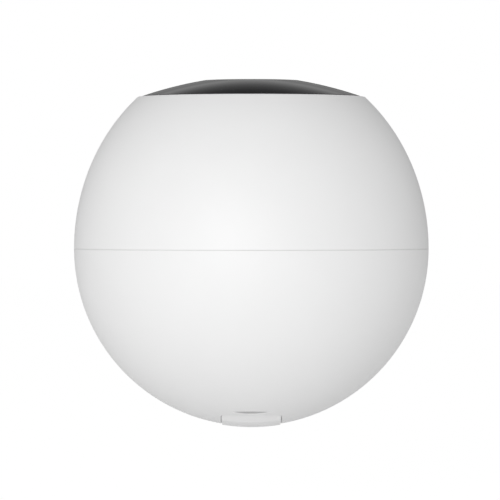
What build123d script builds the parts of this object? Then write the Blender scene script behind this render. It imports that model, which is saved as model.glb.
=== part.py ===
from build123d import *
import os
from math import asin, cos, hypot, radians, sin, sqrt

# A ball-shaped indoor security camera, 80 mm across, that looks along +Z.
# The origin is the centre of the ball, on the seam between its two shells.
# Lengths are in millimetres and angles in degrees. The finger scoop of the port
# cover is on the -Y side, and the tripod thread and the speaker on the +Y side.

os.makedirs("parts", exist_ok=True)

# Fits
fixed_gap = 0.05  # between pieces that are glued, screwed or pressed together
drop_in_gap = 0.2  # round a piece that is dropped into its pocket
running_gap = 0.1  # round a piece that slides or turns

# Ball and shells
shell_wall = 2.4
nose_rise = 4.55  # the front half is an egg end, longer than a half ball by this
rim_land = 0.68  # width of the white rim round the face
rim_depth = 2.25  # of the ledge below the rim
rim_fillet = 0.55
seam_fillet = 0.12
tongue_wall = 1.0
tongue_height = 2.0
tongue_gap = 0.15
seal_height = 0.6

# Black face and its window
face_edge_radius = 24.75
face_edge_rise = 0.1  # of the face's edge above the white rim
face_gap = 0.15
face_arc_radius = 88.0
face_wall = 1.9
face_edge_fillet = 0.25
window_radius = 10.6
window_rise = 3.7  # above the white rim
window_thickness = 1.4
window_gap = 0.1
window_chamfer = 0.12
window_seat_width = 1.4
window_seat_floor = 1.1
window_rim_width = 1.8
face_skirt_wall = 1.4
face_skirt_drop = 2.8
face_skirt_gap = 0.3
sound_hole_radius = 0.5

# Ledge inside the rim, which carries the face and takes the front screws
ledge_width = 4.3
ledge_thickness = 2.6
ledge_root_inset = 0.3  # of the ledge's outer edge, inside the shell's surface
gasket_thickness = 0.5

# Screws
large_thread_radius = 1.25
large_head_radius = 2.2
large_head_height = 1.6
medium_thread_radius = 1.0
medium_head_radius = 1.75
medium_head_height = 1.2
small_thread_radius = 0.7
small_head_radius = 1.25
small_head_height = 0.9
medium_screw_length = 6.0
small_screw_length = 4.0
drive_depth_share = 0.55  # of the head's height
drive_length_share = 1.2  # of the head's radius
drive_width_share = 0.3  # of the head's radius
head_fillet_share = 1 / 3  # of the head's height
screw_hole_gap = 0.15
screw_fit_gap = 0.05

# Inner frame, on four posts of the rear shell
frame_gap = 1.0  # between the frame's edge and the rear shell
frame_thickness = 2.0
frame_top = 0.0
post_spacing_x = 34.0
post_edge = 4.3  # from the frame's edge to the middle of a post
post_radius = 3.2
frame_screw_length = 8.0
board_column_height = 5.0
board_column_radius = 2.4
board_column_spacing = 22.0
cradle_screw_x = 24.0
cradle_ear_reach = 1.95  # from the cradle's side to the screw in its ear
frame_speaker_notch = 7.0

# Boards
board_thickness = 1.6
thin_board = 1.0
board_corner = 1.5
leg_board_gap = 1.2  # between the tower's legs and the main board
main_board_y = 44.0
main_board_corner = 6.0
sensor_board_size = 27.0
sensor_board_gap = 2.8  # between the main board and the sensor board
board_screw_length = 9.0
spreader_x = 36.0
spreader_y = 15.0
spreader_thickness = 1.4
processor_size = 12.0
processor_height = 1.4
chip_chamfer = 0.2
memory_edge_gap = 0.8
memory_y = 9.5
memory_size_x = 8.0
memory_size_y = 9.0
memory_height = 1.0
radio_edge_gap = 0.3
radio_size_x = 9.0
radio_size_y = 11.0
radio_height = 2.2
radio_wall = 0.3
stack_connector_x = 12.0
stack_connector_y = 4.0
ring_connector_x = 16.5
ribbon_end_run = 1.7  # of the ribbon, flat into its connector
port_connector_height = 1.8
ribbon_width = 5.0
ribbon_thickness = 0.3
ribbon_connector_border = 2.0
ribbon_connector_depth = 2.6
ribbon_connector_height = 2.5
ribbon_slot_room = 3.0
ribbon_cradle_gap = 2.25
terminal_size_x = 4.0
terminal_size_y = 4.5
terminal_height = 3.2
lead_radius = 0.7
lead_bend = 1.2
lead_turn_room = 1.4  # between a lead and its terminal
antenna_x = 24.0
antenna_y = 6.0
antenna_edge_gap = 1.5
antenna_thickness = 0.8
ribbon_bend = 3.0
ribbon_end_bend = 0.75

# Lens, its holder and the day and night filter
sensor_size = 8.4
sensor_height = 1.3
holder_x = 26.0
holder_y = 18.0
holder_base_height = 6.4
holder_tube_radius = 7.6
holder_tube_height = 9.6
thread_radius = 6.0
light_hole_radius = 4.6
holder_screw_x = 11.4
barrel_head_radius = 7.5
lens_window_gap = 0.85  # between the barrel and the window's seat
barrel_bottom_gap = 0.3
barrel_bore_radius = 4.2
barrel_wall = 1.2
barrel_chamfer = 0.4
lens_rise = 0.9
lens_rim = 1.2
lens_seat = 2.9  # below the barrel's front edge
inner_lens_radius = 4.1
inner_lens_height = 1.6
inner_lens_pitch = 6.0
filter_size = 5.2
filter_pitch = 5.8
filter_thickness = 0.5
filter_lip = 0.5
carriage_border = 0.9
carriage_thickness = 1.8
carriage_floor = 0.9  # height of the carriage's underside above the image sensor
slot_width = 1.3
slot_border = 1.0
arm_pin_radius = 0.5
arm_radius = 6.2
arm_width = 1.4
arm_thickness = 0.8
rotor_radius = 1.9
rotor_height = 4.2
rotor_shaft_radius = 0.4
motor_x = 17.0
motor_y = 5.0
motor_wall = 0.8
motor_height = 5.8
coil_length = 3.4
coil_radius = 1.8

# Infrared ring and the tower that carries it
ring_shield_gap = 0.6
ring_skirt_gap = 0.3
led_count = 6
led_size = 3.5
led_base_height = 1.2
led_dome_radius = 1.4
status_led_size = 2.0
status_led_height = 0.8
status_led_turn = 60
light_pipe_radius = 1.1
light_sensor_size = 2.6
light_sensor_height = 1.0
microphone_size = 3.6
microphone_height = 1.1
boot_radius = 1.7
ring_screw_turns = (120, 240, 300)
tower_gap = 0.94  # between the tower's ring and the front shell
tower_tube_gap = 0.8
tower_ring_thickness = 2.0
tower_leg_thickness = 1.8
tower_leg_width = 12.0
tower_foot_length = 5.0
tower_foot_height = 1.8
tower_screw_spacing = 7.0
ring_ribbon_x = 14.8
front_screw_count = 4
front_screw_turn = 45
front_screw_length = 5.0
shield_wall = 0.8

# Battery
cell_radius = 9.15
cell_length = 49.4
cell_side_gap = 1.1  # between the two cells
cell_top_gap = 1.85  # between the cells and the inner frame
cell_shell_gap = 2.192  # between the cells' ends and the rear shell
cell_button_radius = 3.0
cell_button_height = 0.6
cell_edge_fillet = 0.5
cradle_wall = 1.3
cradle_gap = 0.4  # between the cradle and the rear shell
contact_thickness = 0.4
contact_width = 6.0
contact_tab_width = 3.0
cradle_ear_size = 5.6
cradle_ear_height = 8.0
lead_start = -3.0
lead_slot = 3.0

# Port cover, on the bottom of the ball
cover_half_width = 6.55
cover_front = -15.3  # middle of its bowed front edge
cover_corner_y = -13.4  # ends of its front edge
cover_neck_half_width = 5.7
cover_neck_y = 1.4  # where the cover narrows towards its hinge
cover_proud = 0.25
cover_corner = 0.9
cover_crease_front = -11.1
cover_front_sink = 0.3
pocket_gap = 0.25
neck_gap = 0.5  # behind the cover's shoulders, which swing towards the hinge
pocket_depth = 2.1
cover_lift = 0.3  # of the cover's underside above the pocket's floor
hinge_y = 9.5
hinge_depth = 3.1  # of the hinge's axis, below the ball's surface
hinge_pin_radius = 0.5
hinge_pin_seat = 1.1  # length of the pin in each wall
cover_nose_radius = 2.2
hinge_end_gap = 0.6  # behind the cover's nose, for its bulge when it stands open
pocket_block_depth = 7.0
pocket_block_wall = 2.1
well_depth = 4.4
well_front = -8.2
well_rear = 5.2
well_half_width = 5.6
scoop_length = 9.4
scoop_radius = 0.95
scoop_tip_rise = 0.03  # of the scoop's two tips, above the ball's surface
scoop_angle = 25.0  # from the bottom of the ball

# Charging socket, button and their board
socket_y = -5.0
socket_width = 9.0
socket_depth = 3.2
socket_length = 8.4
socket_wall = 0.3
socket_recess = 2.7  # of the socket's mouth, below the ball's surface
socket_tongue_width = 6.7
socket_tongue_thickness = 0.7
socket_tongue_recess = 1.4
socket_core_height = 1.5
socket_plug_length = 0.9
button_y = 1.9
button_radius = 1.8
button_flange_radius = 2.6
button_flange_height = 0.7
button_recess = 3.1
button_travel = 0.5
switch_size = 4.5
switch_height = 3.0
plunger_radius = 0.9
plunger_rise = 0.9
plunger_depth = 0.5
port_board_x = 26.0
port_board_y = 20.0
port_board_thickness = 1.2
port_screw_length = 5.0
port_post_x = 10.8
port_post_radius = 2.2

# Speaker, behind the holes in the front shell
speaker_front_gap = 0.31  # between the speaker's frame and the front shell
speaker_seal_gap = 0.4  # between the speaker's cup and the seal
speaker_radius = 10.0
speaker_frame_height = 3.4
speaker_wall = 0.9
magnet_radius = 5.5
magnet_height = 2.2
speaker_cup_wall = 1.2
speaker_gasket_wall = 1.8
speaker_hole_radius = 0.6
speaker_hole_pitch = 2.2
speaker_hole_rings = 2
speaker_holes_first_ring = 6
cone_thickness = 0.4
cone_depth = 1.2
surround_width = 1.6

# Tripod thread
insert_angle = 25.0  # below the seam
insert_radius = 4.6
insert_bore_radius = 2.7
insert_length = 9.0
insert_boss_radius = 6.4
insert_seat_radius = 6.0
insert_seat_depth = 0.5
insert_flange_height = 1.0
insert_flange_radius = 5.4



def front_radius(height, inset=0.0):
    """Radius of the egg-shaped front half at a height, inset by a wall."""
    return (ball_radius - inset) * sqrt(1 - (height / (nose_half_axis - inset)) ** 2)


def front_height(radius):
    """Height of the egg-shaped front half at a radius."""
    return nose_half_axis * sqrt(1 - (radius / ball_radius) ** 2)


# The ball, as small as the two cells in its rear half allow
frame_bottom = frame_top - frame_thickness
cell_spacing = 2 * cell_radius + cell_side_gap
cell_height = frame_bottom - cell_top_gap - cell_radius
cell_reach = hypot(cell_length / 2, hypot(cell_spacing / 2, cell_height) + cell_radius)
shell_inner_radius = cell_reach + cell_shell_gap
ball_radius = shell_inner_radius + shell_wall
nose_half_axis = ball_radius + nose_rise
shell_mid_radius = ball_radius - shell_wall / 2
tongue_radius = shell_inner_radius + tongue_wall

# The front, from the face's edge inwards
opening_radius = face_edge_radius + face_gap
rim_height = front_height(opening_radius + rim_land)
ledge_top = rim_height - rim_depth
ledge_inner_radius = opening_radius - ledge_width
front_screw_circle = (ledge_inner_radius + opening_radius) / 2
skirt_outer = ledge_inner_radius - face_skirt_gap
skirt_inner = skirt_outer - face_skirt_wall
tower_ring_top = ledge_top - ledge_thickness
tower_ring_bottom = tower_ring_top - tower_ring_thickness
tower_ring_radius = front_radius(tower_ring_top, shell_wall) - tower_gap
tower_ring_hole = holder_tube_radius + tower_tube_gap
ring_board_top = tower_ring_top + thin_board
ring_board_inner = tower_ring_hole + shield_wall + ring_shield_gap
ring_board_outer = skirt_inner - ring_skirt_gap
led_circle = (ring_board_inner + ring_board_outer) / 2
face_edge_height = rim_height + face_edge_rise
face_seat = ledge_top + gasket_thickness
window_height = rim_height + window_rise
window_seat = window_height - window_thickness
window_rim_radius = window_radius + window_gap
face_underside = window_seat - window_seat_floor
seal_bottom = tongue_height
seal_top = seal_bottom + seal_height
speaker_z = seal_top + speaker_seal_gap + speaker_cup_wall + drop_in_gap + speaker_radius
speaker_front = front_radius(speaker_z + speaker_radius, shell_wall) - speaker_front_gap
speaker_y = speaker_front - speaker_frame_height - magnet_height

# The rear: the frame's edge, the battery's cradle and the depths of the port
frame_radius = shell_inner_radius - frame_gap
post_spacing_y = 2 * sqrt((frame_radius - post_edge) ** 2 - (post_spacing_x / 2) ** 2)
cradle_half_width = cell_spacing / 2 + cell_radius + drop_in_gap + cradle_wall
cradle_screw_y = 2 * (cradle_half_width + cradle_ear_reach)
hinge_z = hinge_depth - ball_radius
pocket_block_top = pocket_block_depth - ball_radius
well_floor = well_depth - ball_radius
socket_mouth = socket_recess - ball_radius
button_face = button_recess - ball_radius

# The boards, across
main_board_x = 2 * (tower_ring_radius - tower_leg_thickness - leg_board_gap)
memory_x = main_board_x / 2 - memory_edge_gap - memory_size_x / 2
radio_x = main_board_x / 2 - radio_edge_gap - radio_size_x / 2
port_ribbon_y = -cradle_half_width - ribbon_cradle_gap
port_connector_y = port_ribbon_y + ribbon_end_run + ribbon_connector_depth / 2
antenna_centre_y = antenna_y / 2 - sqrt((frame_radius - antenna_edge_gap) ** 2 - (antenna_x / 2) ** 2)
lead_x = cell_length / 2 + contact_thickness - lead_radius

# Heights of the stack, worked out from the seam upwards
main_board_bottom = frame_top + board_column_height
main_board_top = main_board_bottom + board_thickness
sensor_board_bottom = main_board_top + sensor_board_gap
sensor_board_top = sensor_board_bottom + board_thickness
sensor_top = sensor_board_top + sensor_height
carriage_bottom = sensor_top + carriage_floor
carriage_top = carriage_bottom + carriage_thickness
holder_base_top = sensor_board_top + holder_base_height
holder_tube_top = holder_base_top + holder_tube_height


def face_height(radius, drop=0.0):
    """Height of the face's crowned surface at a radius, or of one dropped below it."""
    run = face_edge_radius - window_rim_radius
    rise = window_height - face_edge_height
    half_chord = hypot(run, rise) / 2
    reach = sqrt(face_arc_radius**2 - half_chord**2) / (2 * half_chord)
    centre_radius = (face_edge_radius + window_rim_radius) / 2 - rise * reach
    centre_height = (face_edge_height + window_height) / 2 - run * reach
    return centre_height - drop + sqrt(face_arc_radius**2 - (radius - centre_radius) ** 2)


def ball_drop(across, radius=ball_radius):
    """Height of the lower half of a ball, centred on the origin, at a distance across."""
    return -sqrt(radius**2 - across**2)


def cover_plan(side_gap, shoulder_gap):
    """Outline of the port cover seen from above, widened by gaps to make its pocket."""
    half_width = cover_half_width + side_gap
    neck_half_width = cover_neck_half_width + side_gap
    corner_y = cover_corner_y - side_gap
    shoulder_y = cover_neck_y + shoulder_gap
    with BuildSketch() as plan:
        with BuildLine():
            ThreePointArc((-half_width, corner_y), (0, cover_front - side_gap), (half_width, corner_y))
            Polyline(
                (half_width, corner_y),
                (half_width, shoulder_y),
                (neck_half_width, shoulder_y),
                (neck_half_width, hinge_y),
                (-neck_half_width, hinge_y),
                (-neck_half_width, shoulder_y),
                (-half_width, shoulder_y),
                (-half_width, corner_y),
            )
        make_face()
        fillet(plan.vertices().group_by(Axis.Y)[0], cover_corner + side_gap)
    return plan.sketch


# Front shell: an egg end with a ledge for the face and a cup for the speaker
with BuildPart() as front_shell:
    speaker_plane = Plane(origin=(0, speaker_y, speaker_z), x_dir=(1, 0, 0), z_dir=(0, 1, 0))
    with BuildSketch(speaker_plane):
        Circle(speaker_radius + drop_in_gap + speaker_cup_wall)
        Circle(speaker_radius + drop_in_gap, mode=Mode.SUBTRACT)
    extrude(amount=ball_radius - speaker_y)
    with BuildSketch(Plane.XZ):
        Ellipse(ball_radius - shell_wall / 2, nose_half_axis - shell_wall / 2)
        Rectangle(ball_radius, rim_height, align=(Align.MIN, Align.MIN), mode=Mode.INTERSECT)
    revolve(axis=Axis.Z, mode=Mode.INTERSECT)
    with BuildSketch(Plane.XZ) as front_profile:
        Ellipse(ball_radius, nose_half_axis)
        Ellipse(shell_inner_radius, nose_half_axis - shell_wall, mode=Mode.SUBTRACT)
        with Locations((ledge_inner_radius, tower_ring_top)):
            ledge_root = front_radius(ledge_top, ledge_root_inset)
            Rectangle(ledge_root - ledge_inner_radius, ledge_thickness, align=(Align.MIN, Align.MIN))
        with Locations((0, ledge_top)):
            Rectangle(opening_radius, ball_radius, align=(Align.MIN, Align.MIN), mode=Mode.SUBTRACT)
        Rectangle(ball_radius, rim_height, align=(Align.MIN, Align.MIN), mode=Mode.INTERSECT)
        Rectangle(tongue_radius + tongue_gap, seal_top, align=(Align.MIN, Align.MIN), mode=Mode.SUBTRACT)
        fillet(front_profile.vertices().group_by(Axis.Y)[-1].sort_by(Axis.X)[-1], rim_fillet)
        fillet(front_profile.vertices().group_by(Axis.Y)[0].sort_by(Axis.X)[-1], seam_fillet)
    revolve(axis=Axis.Z)
    with BuildSketch(speaker_plane):
        Circle(speaker_hole_radius)
        for ring in range(1, speaker_hole_rings + 1):
            with PolarLocations(ring * speaker_hole_pitch, ring * speaker_holes_first_ring):
                Circle(speaker_hole_radius)
    extrude(amount=ball_radius, mode=Mode.SUBTRACT)
    with Locations((0, 0, ledge_top)):
        with PolarLocations(front_screw_circle, front_screw_count, start_angle=front_screw_turn):
            CounterBoreHole(
                medium_thread_radius + screw_hole_gap,
                medium_head_radius + screw_hole_gap,
                medium_head_height + screw_hole_gap,
                ledge_thickness,
            )
front_shell.part.label = "front_shell"
export_step(front_shell.part, "parts/front_shell.step")

# Seal, between the rear shell's tongue and the front shell's shoulder
with BuildPart() as shell_seal:
    with BuildSketch(Plane.XY.offset(seal_bottom)):
        Circle(tongue_radius)
        Circle(shell_inner_radius + fixed_gap, mode=Mode.SUBTRACT)
    extrude(amount=seal_height)
shell_seal.part.label = "shell_seal"
export_step(shell_seal.part, "parts/shell_seal.step")

# Face gasket, a flat ring of adhesive foam on the ledge
with BuildPart() as face_gasket:
    with BuildSketch(Plane.XY.offset(ledge_top)):
        Circle(face_edge_radius - fixed_gap)
        Circle(ledge_inner_radius + fixed_gap, mode=Mode.SUBTRACT)
    extrude(amount=gasket_thickness)
face_gasket.part.label = "face_gasket"
export_step(face_gasket.part, "parts/face_gasket.step")

# Face: a crowned black dish with a seat for the window and a skirt inside the ledge
window_hole = window_rim_radius - window_seat_width
window_boss = window_rim_radius + window_rim_width
microphone_plane = Plane.XY.offset(ring_board_top)
with BuildPart() as face_cover:
    with BuildSketch(Plane.XZ) as face_profile:
        with BuildLine():
            crown_mid = (face_edge_radius + window_rim_radius) / 2
            ThreePointArc(
                (face_edge_radius, face_edge_height),
                (crown_mid, face_height(crown_mid)),
                (window_rim_radius, window_height),
            )
            Polyline(
                (window_rim_radius, window_height),
                (window_rim_radius, window_seat),
                (window_hole, window_seat),
                (window_hole, face_underside),
                (window_boss, face_underside),
                (window_boss, face_height(window_boss, face_wall)),
            )
            under_mid = (window_boss + skirt_inner) / 2
            ThreePointArc(
                (window_boss, face_height(window_boss, face_wall)),
                (under_mid, face_height(under_mid, face_wall)),
                (skirt_inner, face_height(skirt_inner, face_wall)),
            )
            Polyline(
                (skirt_inner, face_height(skirt_inner, face_wall)),
                (skirt_inner, face_seat - face_skirt_drop),
                (skirt_outer, face_seat - face_skirt_drop),
                (skirt_outer, face_seat),
                (face_edge_radius, face_seat),
                (face_edge_radius, face_edge_height),
            )
        make_face()
        face_rim = face_profile.vertices().sort_by(Axis.X).group_by(Axis.X)[-1].sort_by(Axis.Y)[-1]
        fillet(face_rim, face_edge_fillet)
    revolve(axis=Axis.Z)
    with BuildSketch(microphone_plane):
        with Locations((led_circle, 0)):
            Circle(sound_hole_radius)
    extrude(amount=ball_radius, mode=Mode.SUBTRACT)
face_cover.part.label = "face_cover"
export_step(face_cover.part, "parts/face_cover.step")

# Window: a flat glass disc, flush with the face
with BuildPart() as lens_window:
    with BuildSketch(Plane.XY.offset(window_seat)):
        Circle(window_radius)
    extrude(amount=window_thickness)
    chamfer(lens_window.edges().group_by(Axis.Z)[-1], window_chamfer)
lens_window.part.label = "lens_window"
export_step(lens_window.part, "parts/lens_window.step")

# Light shield, which keeps the infrared light out of the lens
with BuildPart() as light_shield:
    with BuildSketch(Plane.XY.offset(tower_ring_top)):
        Circle(tower_ring_hole + shield_wall)
        Circle(tower_ring_hole, mode=Mode.SUBTRACT)
    extrude(amount=face_underside - tower_ring_top)
light_shield.part.label = "light_shield"
export_step(light_shield.part, "parts/light_shield.step")

# Rear shell: a half ball with posts, the port pocket and the boss of the tripod thread
insert_direction = (0, cos(radians(insert_angle)), -sin(radians(insert_angle)))
insert_seat_plane = Plane(
    origin=tuple((ball_radius - insert_seat_depth) * part for part in insert_direction),
    x_dir=(1, 0, 0),
    z_dir=insert_direction,
)
hinge_axis_plane = Plane(origin=(0, hinge_y, hinge_z), x_dir=(0, 1, 0), z_dir=(1, 0, 0))
pocket_half_width = cover_half_width + pocket_gap
neck_half_width = cover_neck_half_width + pocket_gap
nose_room = cover_nose_radius + cover_lift
pocket_front = cover_front - pocket_gap
pocket_rear = hinge_y + cover_nose_radius + hinge_end_gap
pocket_floor_radius = ball_radius - pocket_depth
port_board_bottom = socket_mouth + socket_length
port_board_top = port_board_bottom + port_board_thickness
# Room for the port cover: a curved floor and a round end at the hinge
with BuildPart() as cover_pocket:
    with BuildSketch(Plane.XY.offset(pocket_block_top)):
        add(cover_plan(pocket_gap, neck_gap))
    extrude(amount=-ball_radius)
    Sphere(pocket_floor_radius, mode=Mode.SUBTRACT)
    with BuildSketch(Plane.XY.offset(hinge_z)):
        with Locations((0, (hinge_y + pocket_rear) / 2)):
            Rectangle(2 * neck_half_width, pocket_rear - hinge_y)
    extrude(amount=-ball_radius)
    with BuildSketch(hinge_axis_plane):
        Circle(nose_room)
    extrude(amount=neck_half_width, both=True)

# Finger scoop at the front edge of the cover, a spindle-shaped hollow
scoop_reach = sqrt((ball_radius + scoop_tip_rise) ** 2 - (scoop_length / 2) ** 2)
scoop_centre = (0, -scoop_reach * sin(radians(scoop_angle)), -scoop_reach * cos(radians(scoop_angle)))
scoop_plane = Plane(origin=scoop_centre, x_dir=(1, 0, 0), z_dir=(0, -scoop_centre[2], scoop_centre[1]))
with BuildPart() as finger_scoop:
    with BuildSketch(scoop_plane):
        with BuildLine():
            ThreePointArc((-scoop_length / 2, 0), (0, scoop_radius), (scoop_length / 2, 0))
            Line((scoop_length / 2, 0), (-scoop_length / 2, 0))
        make_face()
    revolve(axis=Axis(scoop_centre, (1, 0, 0)))

with BuildPart() as rear_shell:
    with BuildSketch(Plane.XY.offset(frame_bottom)):
        with GridLocations(post_spacing_x, post_spacing_y, 2, 2):
            Circle(post_radius)
    extrude(amount=-ball_radius)
    with BuildSketch(Plane.XY.offset(port_board_bottom)):
        with Locations((port_post_x, 0), (-port_post_x, 0)):
            Circle(port_post_radius)
    extrude(amount=-ball_radius)
    with BuildSketch(Plane.XY.offset(pocket_block_top)):
        block_front = pocket_front - pocket_block_wall
        block_rear = pocket_rear + pocket_block_wall
        with Locations((0, (block_front + block_rear) / 2)):
            Rectangle(2 * (pocket_half_width + pocket_block_wall), block_rear - block_front)
    extrude(amount=-ball_radius)
    with BuildSketch(insert_seat_plane):
        Circle(insert_boss_radius)
    extrude(amount=-(insert_length + shell_wall))
    Sphere(shell_mid_radius, mode=Mode.INTERSECT)
    with BuildSketch(Plane.XZ) as rear_profile:
        Circle(ball_radius)
        Circle(shell_inner_radius, mode=Mode.SUBTRACT)
        Rectangle(ball_radius, ball_radius, align=(Align.MIN, Align.MAX), mode=Mode.INTERSECT)
        with Locations((shell_inner_radius + fixed_gap, -shell_wall)):
            tongue_reach = tongue_wall - fixed_gap
            Rectangle(tongue_reach, shell_wall + tongue_height, align=(Align.MIN, Align.MIN))
        seam_corner = rear_profile.vertices().filter_by_position(Axis.Y, -0.01, 0.01).sort_by(Axis.X)[-1]
        fillet(seam_corner, seam_fillet)
    revolve(axis=Axis.Z)
    add(cover_pocket.part, mode=Mode.SUBTRACT)
    add(finger_scoop.part, mode=Mode.SUBTRACT)
    with BuildSketch(hinge_axis_plane):
        Circle(hinge_pin_radius)
    extrude(amount=neck_half_width + hinge_pin_seat, both=True, mode=Mode.SUBTRACT)
    with BuildSketch(Plane.XY.offset(well_floor)):
        with Locations((0, (well_front + well_rear) / 2)):
            Rectangle(2 * well_half_width, well_rear - well_front)
    extrude(amount=ball_radius / 4, mode=Mode.SUBTRACT)
    with BuildSketch(Plane.XY.offset(-ball_radius)):
        with Locations((0, socket_y)):
            SlotOverall(socket_width + 2 * drop_in_gap, socket_depth + 2 * drop_in_gap)
        with Locations((0, button_y)):
            Circle(button_radius + running_gap)
    extrude(amount=ball_radius + well_floor, mode=Mode.SUBTRACT)
    with Locations((0, 0, frame_bottom)):
        with GridLocations(post_spacing_x, post_spacing_y, 2, 2):
            Hole(large_thread_radius, frame_screw_length)
    with Locations((port_post_x, 0, port_board_bottom), (-port_post_x, 0, port_board_bottom)):
        Hole(small_thread_radius, port_screw_length)
    with BuildSketch(insert_seat_plane):
        Circle(insert_seat_radius)
    extrude(amount=shell_wall, mode=Mode.SUBTRACT)
    with Locations(insert_seat_plane):
        CounterBoreHole(insert_radius, insert_flange_radius, insert_flange_height, insert_length)
rear_shell.part.label = "rear_shell"
export_step(rear_shell.part, "parts/rear_shell.step")

# Brass insert with the tripod thread
with BuildPart() as mount_insert:
    with BuildSketch(insert_seat_plane):
        Circle(insert_flange_radius - fixed_gap)
    extrude(amount=-insert_flange_height)
    with BuildSketch(insert_seat_plane):
        Circle(insert_radius - fixed_gap)
    extrude(amount=-insert_length)
    with Locations(insert_seat_plane):
        Hole(insert_bore_radius, insert_length)
mount_insert.part.label = "mount_insert"
export_step(mount_insert.part, "parts/mount_insert.step")

# Port cover: a curved flap with a round nose at its hinge and a plug for the socket
cover_outer_radius = ball_radius + cover_proud
cover_inner_radius = pocket_floor_radius + cover_lift
sunk_radius = ball_radius - cover_front_sink
with BuildPart() as port_cover:
    with BuildSketch(Plane.XY.offset(pocket_block_top)):
        add(cover_plan(0, 0))
    extrude(amount=-ball_radius)
    Sphere(cover_inner_radius, mode=Mode.SUBTRACT)
    with BuildSketch(hinge_axis_plane):
        Circle(cover_nose_radius)
    extrude(amount=cover_neck_half_width, both=True)
    Sphere(cover_outer_radius, mode=Mode.INTERSECT)
    with BuildSketch(Plane.YZ):
        with BuildLine():
            Polyline(
                (cover_crease_front, ball_drop(cover_crease_front, cover_outer_radius)),
                (cover_front, ball_drop(cover_front, sunk_radius)),
                (cover_front - pocket_gap, ball_drop(cover_front, sunk_radius)),
                (cover_front - pocket_gap, -2 * ball_radius),
                (cover_crease_front, -2 * ball_radius),
                close=True,
            )
        make_face()
    revolve(axis=Axis.Y, mode=Mode.SUBTRACT)
    with BuildSketch(Plane.XY.offset(socket_mouth + socket_plug_length)):
        with Locations((0, socket_y)):
            plug_width = socket_width - 2 * (socket_wall + cover_lift)
            SlotOverall(plug_width, socket_depth - 2 * (socket_wall + cover_lift))
    extrude(amount=ball_drop(socket_y, cover_inner_radius) - socket_mouth - 2 * socket_plug_length)
    with BuildSketch(hinge_axis_plane):
        Circle(hinge_pin_radius + running_gap)
    extrude(amount=cover_neck_half_width, both=True, mode=Mode.SUBTRACT)
port_cover.part.label = "port_cover"
export_step(port_cover.part, "parts/port_cover.step")

# Hinge pin of the port cover, pressed into the walls of its pocket
with BuildPart() as port_cover_pin:
    with BuildSketch(hinge_axis_plane):
        Circle(hinge_pin_radius)
    extrude(amount=neck_half_width + hinge_pin_seat, both=True)
port_cover_pin.part.label = "port_cover_pin"
export_step(port_cover_pin.part, "parts/port_cover_pin.step")

# Charging socket: a thin metal shell round a plastic tongue
with BuildPart() as socket_shell:
    with BuildSketch(Plane.XY.offset(socket_mouth)):
        with Locations((0, socket_y)):
            SlotOverall(socket_width, socket_depth)
            SlotOverall(socket_width - 2 * socket_wall, socket_depth - 2 * socket_wall, mode=Mode.SUBTRACT)
    extrude(amount=socket_length)
socket_shell.part.label = "socket_shell"
export_step(socket_shell.part, "parts/socket_shell.step")

with BuildPart() as socket_tongue:
    with BuildSketch(Plane.XY.offset(port_board_bottom)):
        with Locations((0, socket_y)):
            core_gap = socket_wall + fixed_gap
            SlotOverall(socket_width - 2 * core_gap, socket_depth - 2 * core_gap)
    extrude(amount=-socket_core_height)
    with BuildSketch(Plane.XY.offset(socket_mouth + socket_tongue_recess)):
        with Locations((0, socket_y)):
            Rectangle(socket_tongue_width, socket_tongue_thickness)
    extrude(amount=socket_length - socket_tongue_recess)
socket_tongue.part.label = "socket_tongue"
export_step(socket_tongue.part, "parts/socket_tongue.step")

# Setup button under the port cover, with its switch on the port board
switch_bottom = port_board_bottom - switch_height
plunger_bottom = switch_bottom - plunger_rise
with BuildPart() as setup_button:
    with BuildSketch(Plane.XY.offset(button_face)):
        with Locations((0, button_y)):
            Circle(button_radius)
    extrude(amount=well_floor - button_face + fixed_gap)
    with BuildSketch(Plane.XY.offset(well_floor + fixed_gap)):
        with Locations((0, button_y)):
            Circle(button_flange_radius)
    extrude(amount=button_flange_height)
    with BuildSketch(Plane.XY.offset(well_floor + fixed_gap)):
        with Locations((0, button_y)):
            Circle(plunger_radius)
    extrude(amount=plunger_bottom - well_floor - fixed_gap)
setup_button.part.label = "setup_button"
export_step(setup_button.part, "parts/setup_button.step")

with BuildPart() as switch_plunger:
    with BuildSketch(Plane.XY.offset(plunger_bottom)):
        with Locations((0, button_y)):
            Circle(plunger_radius)
    extrude(amount=plunger_rise + plunger_depth)
switch_plunger.part.label = "switch_plunger"
export_step(switch_plunger.part, "parts/switch_plunger.step")

with BuildPart() as setup_switch:
    with BuildSketch(Plane.XY.offset(switch_bottom)):
        with Locations((0, button_y)):
            Rectangle(switch_size, switch_size)
    extrude(amount=switch_height)
    with BuildSketch(Plane.XY.offset(switch_bottom)):
        with Locations((0, button_y)):
            Circle(plunger_radius + running_gap)
    extrude(amount=plunger_depth + button_travel + running_gap, mode=Mode.SUBTRACT)
setup_switch.part.label = "setup_switch"
export_step(setup_switch.part, "parts/setup_switch.step")

with BuildPart() as port_board:
    with BuildSketch(Plane.XY.offset(port_board_bottom)):
        RectangleRounded(port_board_x, port_board_y, board_corner)
        with Locations((port_post_x, 0), (-port_post_x, 0)):
            Circle(small_thread_radius + screw_hole_gap, mode=Mode.SUBTRACT)
    extrude(amount=port_board_thickness)
port_board.part.label = "port_board"
export_step(port_board.part, "parts/port_board.step")

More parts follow.
